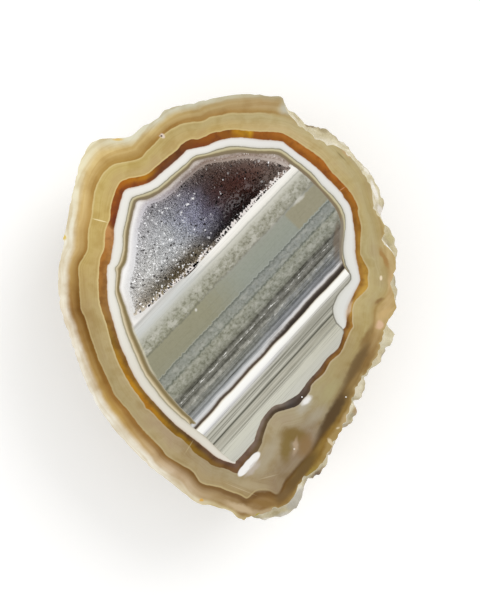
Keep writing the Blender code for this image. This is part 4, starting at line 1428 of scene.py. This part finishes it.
def lattice(loop: np.ndarray, holes: Sequence[np.ndarray], spacing: float) -> np.ndarray:
    """Spread dots evenly within a loop.

    Args:
        loop: the outline, as flat points.
        holes: outlines to stay out of.
        spacing: metres between the dots.

    Returns:
        One row of x and y for each dot.
    """
    low, high = loop.min(axis=0), loop.max(axis=0)
    row_height = spacing * math.sqrt(0.75)
    width, height = high - low
    rows, columns = int(height / row_height) + 1, int(width / spacing) + 1
    dots = np.array([(low[0] + (column + 0.5 * (row % 2)) * spacing, low[1] + row * row_height)
                     for row in range(rows) for column in range(columns)])
    room = 0.55 * spacing
    kept = signed_distance(dots, loop) > room
    for hole in holes:
        kept &= signed_distance(dots, hole) < -room
    return dots[kept]


@dataclass
class AgateNodule:
    """The stone in one closed mesh: rough rind, polished face and the pocket's wall."""

    stone_length: float = 99.0 * MM
    depth: float = 36.0 * MM
    girth_depth: float = 8.0 * MM  # from the face down to the widest ring
    base_share: float = 0.44  # of the girth, for the patch it lies on
    base_hollow: float = 0.2 * MM
    chip_depth: float = 2.6 * MM
    stations: int = 520
    dome_rings: int = 48
    dome_powers: tuple[float, float] = (0.95, 0.9)  # below 1 is squarer than round
    lumps: tuple = ((24.0 * MM, 1.7 * MM), (9.0 * MM, 1.1 * MM), (4.0 * MM, 0.5 * MM))
    fine_lumps: tuple = ((1.9 * MM, 0.35 * MM), (0.9 * MM, 0.18 * MM))
    nick: float = 0.5 * MM  # how deep the edge is nicked
    chipped_nick: float = 1.1 * MM
    nick_length: float = 1.5 * MM
    scoop: float = 4.0 * MM  # the width of a flake's scar on the chipped side
    scoop_depth: float = 0.9 * MM
    scooped_rings: int = 24
    pit_count: int = 46
    pit_lifts: tuple[float, float] = (0.05, 0.8)
    pit_reach: float = 0.46  # of the stone's length
    pit_radii: tuple[float, float] = (1.6 * MM, 3.6 * MM)
    pit_depths: tuple[float, float] = (0.4 * MM, 1.2 * MM)
    pit_seed: int = 11
    face_spacing: float = 0.42 * MM
    wall_spacing: float = 1.0 * MM

    def make_pits(self) -> list[tuple[Vector, float, float]]:
        """Place the pits in the rind.

        Returns:
            Each pit's middle, radius and depth.
        """
        draw = random.Random(self.pit_seed)
        slimness, highest = 0.82, 0.82  # shares of the stone's length and depth
        pits = []
        for _ in range(self.pit_count):
            turn = draw.uniform(0.0, 2 * math.pi)
            lift = draw.uniform(*self.pit_lifts)
            flat = math.sqrt(1.0 - lift * lift) * self.stone_length * self.pit_reach
            place = Vector((flat * slimness * math.cos(turn), flat * math.sin(turn),
                            self.depth * (highest - lift)))
            pits.append((place, draw.uniform(*self.pit_radii), draw.uniform(*self.pit_depths)))
        return pits

    def roughness_at(self, place: Vector, pits: list, fine: float) -> float:
        """Find how far the rind stands out at a place.

        Args:
            place: the place on the smooth form.
            pits: the pits in the rind.
            fine: how strong the finest lumps are, 0 to 1.

        Returns:
            The height in metres, mostly below zero.
        """
        sunk = 0.4  # keeps most of the lumps within the smooth form
        height = sum(swing * (noise.noise(place / size) - sunk) for size, swing in self.lumps)
        height += fine * sum(swing * (noise.noise(place / size) - sunk) for size, swing in self.fine_lumps)
        for centre, radius, depth in pits:
            away = (place - centre).length / (2.0 * radius)
            if away < 1.0:
                height -= depth * (1.0 - away * away) ** 2
        return height

    def layers(self, angles: np.ndarray) -> list[tuple[np.ndarray, np.ndarray, float]]:
        """Lay out the rind, from the polished edge down to the patch it lies on.

        Args:
            angles: the stations round the stone.

        Returns:
            Depths, radii and roughness of each ring.
        """
        stone = radii_at(smooth_path(PHOTO.flat(SILHOUETTE), closed=True), angles)
        chipped = radii_at(smooth_path(PHOTO.flat(CHIPPED_EDGE), closed=False), angles)
        self.chipped_side = np.isfinite(chipped)
        edge = [Vector((radius * math.cos(angle), radius * math.sin(angle), 0.0)) / self.nick_length
                for radius, angle in zip(stone, angles)]
        nicks = np.array([max(0.0, noise.noise(place)) for place in edge])
        stone = stone - nicks * np.where(self.chipped_side, self.chipped_nick, self.nick)
        elsewhere = Vector((0.0, 0.0, 5.0))
        nicks = np.array([noise.noise(place + elsewhere) for place in edge])
        face_edge = np.minimum(stone, chipped - np.maximum(nicks, 0.0) * self.chipped_nick)
        reach = 15  # stations that are averaged on both sides
        core = sum(np.roll(stone, shift) for shift in range(-reach, reach + 1)) / (2 * reach + 1)
        level = np.ones_like(angles)
        chip = self.chip_depth * (1.0 + 0.35 * np.sin(3.0 * angles) + 0.25 * np.sin(7.0 * angles + 1.0))
        # Each mark is a depth, a radius, a roughness and how many rings lead down to it.
        marks = [
            (0.0 * level, face_edge, 0.0, 1), (0.35 * chip, 0.45 * face_edge + 0.55 * stone, 0.25, 6),
            (chip, stone, 0.25, 6), (0.65 * self.girth_depth * level, 0.85 * stone + 0.15 * core, 0.45, 6),
            (self.girth_depth * level, 0.6 * stone + 0.4 * core, 0.7, 5),
        ]
        rings = [marks[0][:3]]
        for (depth0, radius0, rough0, _), (depth1, radius1, rough1, steps) in zip(marks, marks[1:]):
            for step in range(1, steps + 1):
                part = step / steps
                rings.append((depth0 + part * (depth1 - depth0), radius0 + part * (radius1 - radius0),
                              rough0 + part * (rough1 - rough0)))
        down_power, in_power = self.dome_powers
        blended_rings = 6
        for step in range(1, self.dome_rings + 1):
            turn = 0.5 * math.pi * step / self.dome_rings
            depth = self.girth_depth + (self.depth - self.girth_depth) * math.sin(turn) ** down_power
            share = self.base_share + (1.0 - self.base_share) * max(math.cos(turn), 0.0) ** in_power
            blend = min(1.0, step / blended_rings)
            rim = (1.0 - blend) * marks[-1][1] + blend * core
            rough = min(1.0, 0.7 + 0.05 * step, 0.1 * (self.dome_rings - step))
            rings.append((depth * level, share * rim, rough))
        base_shares = (0.36, 0.28, 0.2, 0.12, 0.05)  # the hollowed patch it lies on
        rings += [((self.depth - self.base_hollow) * level, share * core, 0.0) for share in base_shares]
        return rings

    def build(self, pocket: Pocket) -> bpy.types.Object:
        """Build and dress the stone.

        Args:
            pocket: the pocket in its face.

        Returns:
            The stone.
        """
        angles = np.linspace(-math.pi, math.pi, self.stations, endpoint=False)
        pits = self.make_pits()
        heart_height = 0.6
        heart = Vector((0.0, 0.0, heart_height * self.depth))
        points: list[Vector] = []
        for number, (depths, radii, rough) in enumerate(self.layers(angles)):
            for depth, radius, angle, is_chipped in zip(depths, radii, angles, self.chipped_side):
                place = Vector((radius * math.cos(angle), radius * math.sin(angle), self.depth - depth))
                fine = min(1.0, 0.25 * number)  # the finest lumps fade in under the polished edge
                if rough:
                    lift = rough * self.roughness_at(place, pits, 0.0) + fine * min(1.0, 2.0 * rough) * (
                        self.roughness_at(place, [], 1.0) - self.roughness_at(place, [], 0.0))
                    if is_chipped and number < self.scooped_rings:
                        away = noise.voronoi(place / self.scoop)[0][0]
                        lift -= fine * self.scoop_depth * max(0.0, 1.0 - 1.6 * away * away)
                    place += (place - heart).normalized() * lift
                points.append(place)
        count = self.stations
        rings = len(points) // count
        rind = [(ring * count + step, ring * count + (step + 1) % count,
                 (ring + 1) * count + (step + 1) % count, (ring + 1) * count + step)
                for ring in range(rings - 1) for step in range(count)]
        last = (rings - 1) * count
        points.append(Vector((0.0, 0.0, self.base_hollow)))
        rind += [(last + step, last + (step + 1) % count, len(points) - 1) for step in range(count)]

        border = pocket.border()
        surface, corners = pocket.surface(border, self.wall_spacing)
        first = len(points)
        points += [pocket.place(share, over, 0.0) for share, over in corners]
        wall = [tuple(first + corner for corner in face) for face in surface]

        edge = np.array([place.xy for place in points[:count]])
        hole = np.array([points[first + step].xy for step in range(len(border))])
        dots = lattice(edge, [hole], self.face_spacing)
        dots_first = len(points)
        points += [Vector((x, y, self.depth)) for x, y in dots]
        numbers = list(range(count)) + list(range(first, first + len(border))) + list(
            range(dots_first, dots_first + len(dots)))
        face = [tuple(numbers[corner] for corner in corners) for corners in fill([edge, hole], dots)]

        mesh = build_mesh("agate_nodule", points, rind + wall + face)
        self.measure(mesh, edge)
        slots = [0] * len(rind) + [1] * len(wall) + [2] * len(face)
        mesh.polygons.foreach_set("material_index", slots)
        mesh.polygons.foreach_set("use_smooth", [slot == 0 for slot in slots])
        for finish in (RoughRind(), PocketWall(), PolishedAgate()):
            mesh.materials.append(finish.material())
        return add_piece("agate_stone", mesh)

    def measure(self, mesh: bpy.types.Mesh, edge: np.ndarray) -> None:
        """Store every point's distance to each outline, in millimetres.

        Args:
            mesh: the stone's mesh.
            edge: the polished edge, as flat points.
        """
        places = np.empty(3 * len(mesh.vertices))
        mesh.vertices.foreach_get("co", places)
        places = places.reshape(-1, 3)
        flatness = 0.01 * MM
        on_face = np.abs(places[:, 2] - self.depth) < flatness
        for contour in Contour:
            loop = edge if contour is Contour.POLISHED else smooth_path(PHOTO.flat(contour.points), True, 6)
            distances = np.zeros(len(places))
            distances[on_face] = signed_distance(places[on_face, :2], loop) / MM
            mesh.attributes.new(contour.value, "FLOAT", "POINT").data.foreach_set("value", distances)


@dataclass(frozen=True)
class Growth:
    """How densely crystals grow on a surface, and how large they are."""

    spacing: float = 0.27 * MM
    density: float = 26.0 / MM**2
    smallest: float = 0.26 * MM
    largest: float = 0.62 * MM
    lean: float = math.radians(28.0)
    seed: int = 5


@dataclass
class CrystalDruse:
    """The crust that lines the pocket and the crystals that stand on it."""

    thickness: float = 0.45 * MM
    inset: float = -0.02 * MM
    lumpiness: float = 0.3 * MM
    lump_length: float = 2.2 * MM
    below_face: float = 0.1 * MM
    spacing: float = 0.8 * MM
    skipped: int = 1
    pale_share: float = 0.4  # how much of the way from the rim to the ledge is pale
    rim_thinning: float = 0.7  # the share of the points that is missing by the rim
    end_thinning: float = 0.6  # and at the maroon end
    fringe_drop: float = 0.8 * MM
    crust_growth: Growth = Growth()
    fringe_growth: Growth = Growth(spacing=0.24 * MM, smallest=0.4 * MM, largest=1.05 * MM, seed=9)

    def crystal(self) -> bpy.types.Object:
        """Model one quartz point, a unit wide: a six-sided prism with a pyramid on it.

        Returns:
            The crystal, to be copied over a surface.
        """
        turns = [math.radians(60.0 * step) for step in range(6)]
        corners = [(0.5 * math.cos(turn), 0.5 * math.sin(turn)) for turn in turns]
        root, shoulder, tip = -0.3, 0.45, (0.05, 0.03, 1.1)
        points = [(x, y, z) for z in (root, shoulder) for x, y in corners] + [tip]
        prism = [(step, (step + 1) % 6, 6 + (step + 1) % 6, 6 + step) for step in range(6)]
        pyramid = [(6 + step, 6 + (step + 1) % 6, 12) for step in range(6)]
        return add_piece("quartz_point", build_mesh("quartz_point", points, prism + pyramid))

    def growth_tree(self) -> bpy.types.NodeTree:
        """Make the nodes that grow crystals on a surface.

        Returns:
            The tree, with its sizes as named inputs.
        """
        tree = bpy.data.node_groups.new("Crystal growth", "GeometryNodeTree")
        add = partial(add_node, tree)
        sockets = (("Crust", "Geometry"), ("Crystal", "Object"), ("Spacing", "Float"), ("Density", "Float"),
                   ("Smallest", "Float"), ("Largest", "Float"), ("Lean", "Float"), ("Seed", "Int"),
                   ("Material", "Material"))
        for name, kind in sockets:
            tree.interface.new_socket(name, in_out="INPUT", socket_type="NodeSocket" + kind)
        tree.interface.new_socket("Geometry", in_out="OUTPUT", socket_type="NodeSocketGeometry")
        given = add("NodeGroupInput").outputs
        open_side = add("GeometryNodeInputNamedAttribute", {"Name": "open_side"}, data_type="FLOAT")
        dots = add("GeometryNodeDistributePointsOnFaces", {
            "Mesh": given["Crust"], "Distance Min": given["Spacing"], "Density Max": given["Density"],
            "Density Factor": open_side.outputs["Attribute"], "Seed": given["Seed"]},
            distribute_method="POISSON")
        least = add("ShaderNodeMath", {0: given["Lean"], 1: -1.0}, operation="MULTIPLY")
        low = add("ShaderNodeCombineXYZ", {0: least, 1: least, 2: -math.pi})
        high = add("ShaderNodeCombineXYZ", {0: given["Lean"], 1: given["Lean"], 2: math.pi})
        turn = add("FunctionNodeRandomValue", {0: low, 1: high, "Seed": given["Seed"]},
                   data_type="FLOAT_VECTOR")
        lean = add("FunctionNodeEulerToRotation", {0: turn})
        turned = add("FunctionNodeRotateRotation", {0: dots.outputs["Rotation"], 1: lean},
                     rotation_space="LOCAL")
        size = add("FunctionNodeRandomValue", {
            2: given["Smallest"], 3: given["Largest"], "Seed": given["Seed"]}, data_type="FLOAT")
        crystal = add("GeometryNodeObjectInfo", {"Object": given["Crystal"]})
        copies = add("GeometryNodeInstanceOnPoints", {
            "Points": dots.outputs["Points"], "Instance": crystal.outputs["Geometry"],
            "Rotation": turned, "Scale": size})
        chance_seed = 3
        chance = add("FunctionNodeRandomValue", {"Seed": chance_seed}, data_type="FLOAT")
        named = add("GeometryNodeStoreNamedAttribute", {
            "Geometry": copies, "Name": "crystal_chance", "Value": chance},
            data_type="FLOAT", domain="INSTANCE")
        realized = add("GeometryNodeRealizeInstances", {0: named})
        joined = add("GeometryNodeJoinGeometry")
        tree.links.new(given["Crust"], joined.inputs[0])
        tree.links.new(realized.outputs[0], joined.inputs[0])
        dressed = add("GeometryNodeSetMaterial", {
            "Geometry": joined, "Material": given["Material"]})
        add("NodeGroupOutput", {0: dressed})
        return tree

    def crust(self, pocket: Pocket) -> bpy.types.Mesh:
        """Model the lumpy crust that the crystals stand on.

        Args:
            pocket: the pocket that it lines.

        Returns:
            A closed mesh, with its open side marked.
        """
        border = pocket.border(self.skipped)
        triangles, corners = pocket.surface(border, self.spacing)
        back = [pocket.place(share, over, self.inset) for share, over in corners]
        front = []
        for share, over in corners:
            place = pocket.place(share, over, self.inset + self.thickness)
            lump = self.lumpiness * noise.noise(place / self.lump_length)
            front.append(place + Vector((0.0, 0.0, min(lump, pocket.top - self.below_face - place.z))))
        count = len(corners)
        rim = len(border)
        faces = [tuple(reversed(face)) for face in triangles]
        faces += [tuple(count + corner for corner in face) for face in triangles]
        faces += [(step, (step + 1) % rim, count + (step + 1) % rim, count + step) for step in range(rim)]
        mesh = build_mesh("quartz_crust", back + front, faces)
        near_rim = [max(0.0, 1.0 - (1.0 - over) / self.pale_share) for _, over in corners]
        maroon_from, blend = 0.5, 0.2
        calm = [min(1.0, max(0.0, (share - maroon_from) / blend)) for share, _ in corners]
        room = [(1.0 - self.rim_thinning * near) * (1.0 - self.end_thinning * still)
                for near, still in zip(near_rim, calm)]
        for name, values in (("open_side", [0.0] * count + room), ("near_rim", near_rim * 2),
                             ("crystal_chance", [0.5] * 2 * count)):
            mesh.attributes.new(name, "FLOAT", "POINT").data.foreach_set("value", values)
        return mesh

    def fringe(self, pocket: Pocket) -> bpy.types.Mesh:
        """Model the narrow strip along the ledge's top edge, where larger crystals stand.

        Args:
            pocket: the pocket.

        Returns:
            The strip, with its open side marked.
        """
        stations, end_gap = 120, 0.02
        shares = [end_gap + (1.0 - 2.0 * end_gap) * step / stations for step in range(stations + 1)]
        towards = Vector((*(pocket.rim.mean(axis=0) - pocket.ledge.mean(axis=0)), 0.0)).normalized()
        points = []
        for drop, out in ((0.1, 0.0), (self.fringe_drop / MM, 0.4)):
            for share in shares:
                flat = along(pocket.ledge, share)
                points.append(Vector((flat[0], flat[1], pocket.top - drop * MM)) + towards * out * MM)
        row = stations + 1
        faces = [(step, row + step, row + step + 1, step + 1) for step in range(stations)]
        mesh = build_mesh("ledge_fringe", points, faces)
        if mesh.polygons[0].normal.dot(towards) < 0.0:
            mesh.flip_normals()
        bunches = [min(1.0, max(0.5, 0.9 + 2.0 * noise.noise(point / (2.4 * MM)))) for point in points]
        mesh.attributes.new("open_side", "FLOAT", "POINT").data.foreach_set("value", bunches)
        mesh.attributes.new("ledge_fringe", "FLOAT", "POINT").data.foreach_set("value", [1.0] * len(points))
        return mesh

    def grown(self, mesh: bpy.types.Mesh, growth: Growth, crystal: bpy.types.Object,
              tree: bpy.types.NodeTree, material: bpy.types.Material) -> bpy.types.Mesh:
        """Grow crystals on a mesh.

        Args:
            mesh: the surface.
            growth: how they grow.
            crystal: the crystal to copy.
            tree: the nodes that grow them.
            material: their material.

        Returns:
            The surface with its crystals, as a plain mesh.
        """
        bed = add_piece("crystal_bed", mesh)
        modifier = bed.modifiers.new("Crystal growth", "NODES")
        modifier.node_group = tree
        values = {"Crystal": crystal, "Spacing": growth.spacing, "Density": growth.density,
                  "Smallest": growth.smallest, "Largest": growth.largest, "Lean": growth.lean,
                  "Seed": growth.seed, "Material": material}
        for socket in tree.interface.items_tree:
            if socket.in_out == "INPUT" and socket.name in values:
                modifier[socket.identifier] = values[socket.name]
        bpy.context.view_layer.update()
        evaluated = bed.evaluated_get(bpy.context.evaluated_depsgraph_get())
        result = bpy.data.meshes.new_from_object(evaluated)
        bpy.data.objects.remove(bed)
        return result

    def build(self, pocket: Pocket) -> bpy.types.Object:
        """Build and dress the druse.

        Args:
            pocket: the pocket that it lines.

        Returns:
            The druse in one mesh.
        """
        crystal = self.crystal()
        tree = self.growth_tree()
        material = DrusyQuartz().material()
        shape = bmesh.new()
        beds = ((self.crust(pocket), self.crust_growth), (self.fringe(pocket), self.fringe_growth))
        for mesh, growth in beds:
            shape.from_mesh(self.grown(mesh, growth, crystal, tree, material))
        bpy.data.objects.remove(crystal)
        highest = pocket.top - 0.5 * self.below_face
        for corner in shape.verts:
            corner.co.z = min(corner.co.z, highest)
        joined = bpy.data.meshes.new("quartz_druse")
        shape.to_mesh(joined)
        shape.free()
        joined.materials.append(material)
        return add_piece("drusy_pocket", joined)


@dataclass
class Studio:
    """A pale floor, a camera straight over the face and soft light."""

    camera_height: float = 500.0 * MM  # over the face
    sensor: float = 36.0
    floor_reach: float = 3.0
    floor_glow: float = 0.15
    world_strength: float = 0.74
    key_power: float = 8.0
    key_size: float = 0.9
    key_place: tuple[float, float, float] = (0.75, 0.75, 1.1)
    fill_power: float = 3.0
    fill_size: float = 1.2
    fill_place: tuple[float, float, float] = (-1.0, -0.5, 1.0)

    def camera(self, face_height: float) -> None:
        """Place the camera over the middle of the photograph.

        Args:
            face_height: how high the polished face lies.
        """
        width, height = PHOTO.frame
        middle = PHOTO.flat([(width / 2, height / 2)])[0]
        data = bpy.data.cameras.new("camera")
        data.sensor_fit = "AUTO"
        data.sensor_width = self.sensor
        data.lens = self.sensor * self.camera_height / (max(width, height) * PHOTO.pixel)
        data.clip_start = 0.01
        camera = bpy.data.objects.new("camera", data)
        camera.location = (middle[0], middle[1], face_height + self.camera_height)
        bpy.context.scene.collection.objects.link(camera)
        bpy.context.scene.camera = camera

    def light(self, name: str, place: tuple[float, float, float], size: float, power: float) -> None:
        """Hang a soft square light that looks at the stone.

        Args:
            name: its name.
            place: where it hangs.
            size: its side, in metres.
            power: in watts.
        """
        data = bpy.data.lights.new(name, "AREA")
        data.size = size
        data.energy = power
        lamp = bpy.data.objects.new(name, data)
        lamp.location = place
        lamp.rotation_euler = (-Vector(place)).to_track_quat("-Z", "Y").to_euler()
        bpy.context.scene.collection.objects.link(lamp)

    def build(self, face_height: float) -> None:
        """Set up the floor, the lights and the camera.

        Args:
            face_height: how high the polished face lies.
        """
        reach = self.floor_reach
        corners = [(-reach, -reach, 0.0), (reach, -reach, 0.0), (reach, reach, 0.0), (-reach, reach, 0.0)]
        floor = add_piece("studio_floor", build_mesh("studio_floor", corners, [(0, 1, 2, 3)]))
        # White paper: matt, and lit through a little, so that its shadows stay pale.
        paper, _ = principled("white_paper", Base_Color=linear("#fdfdfc"), Roughness=0.9,
                              Emission_Color=linear("#ffffff"), Emission_Strength=self.floor_glow)
        floor.data.materials.append(paper)
        world = bpy.data.worlds.new("studio")
        world.use_nodes = True
        background = world.node_tree.nodes["Background"]
        background.inputs["Color"].default_value = linear("#ffffff")
        background.inputs["Strength"].default_value = self.world_strength
        scene = bpy.context.scene
        scene.world = world
        scene.view_settings.view_transform = "Standard"
        self.light("key_light", self.key_place, self.key_size, self.key_power)
        self.light("fill_light", self.fill_place, self.fill_size, self.fill_power)
        self.camera(face_height)


def main() -> None:
    """Build the stone, its crystals and the studio, in that order."""
    logging.basicConfig(level=logging.INFO, format="%(name)s: %(message)s")
    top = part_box("agate_nodule")[1].z
    pocket = Pocket(top=top)
    pieces = (
        (AgateNodule(depth=top).build(pocket), "agate_nodule", "polished_agate"),
        (CrystalDruse().build(pocket), "quartz_druse", "quartz_crystals"),
    )
    for piece, node, slot in pieces:
        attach(piece, "root")
        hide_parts(node)
        LOG.info("%s stands for %s, with %d faces", piece.name, node, len(piece.data.polygons))
    Studio().build(top)
    LOG.info("the studio is lit")


if __name__ == "__main__":
    main()
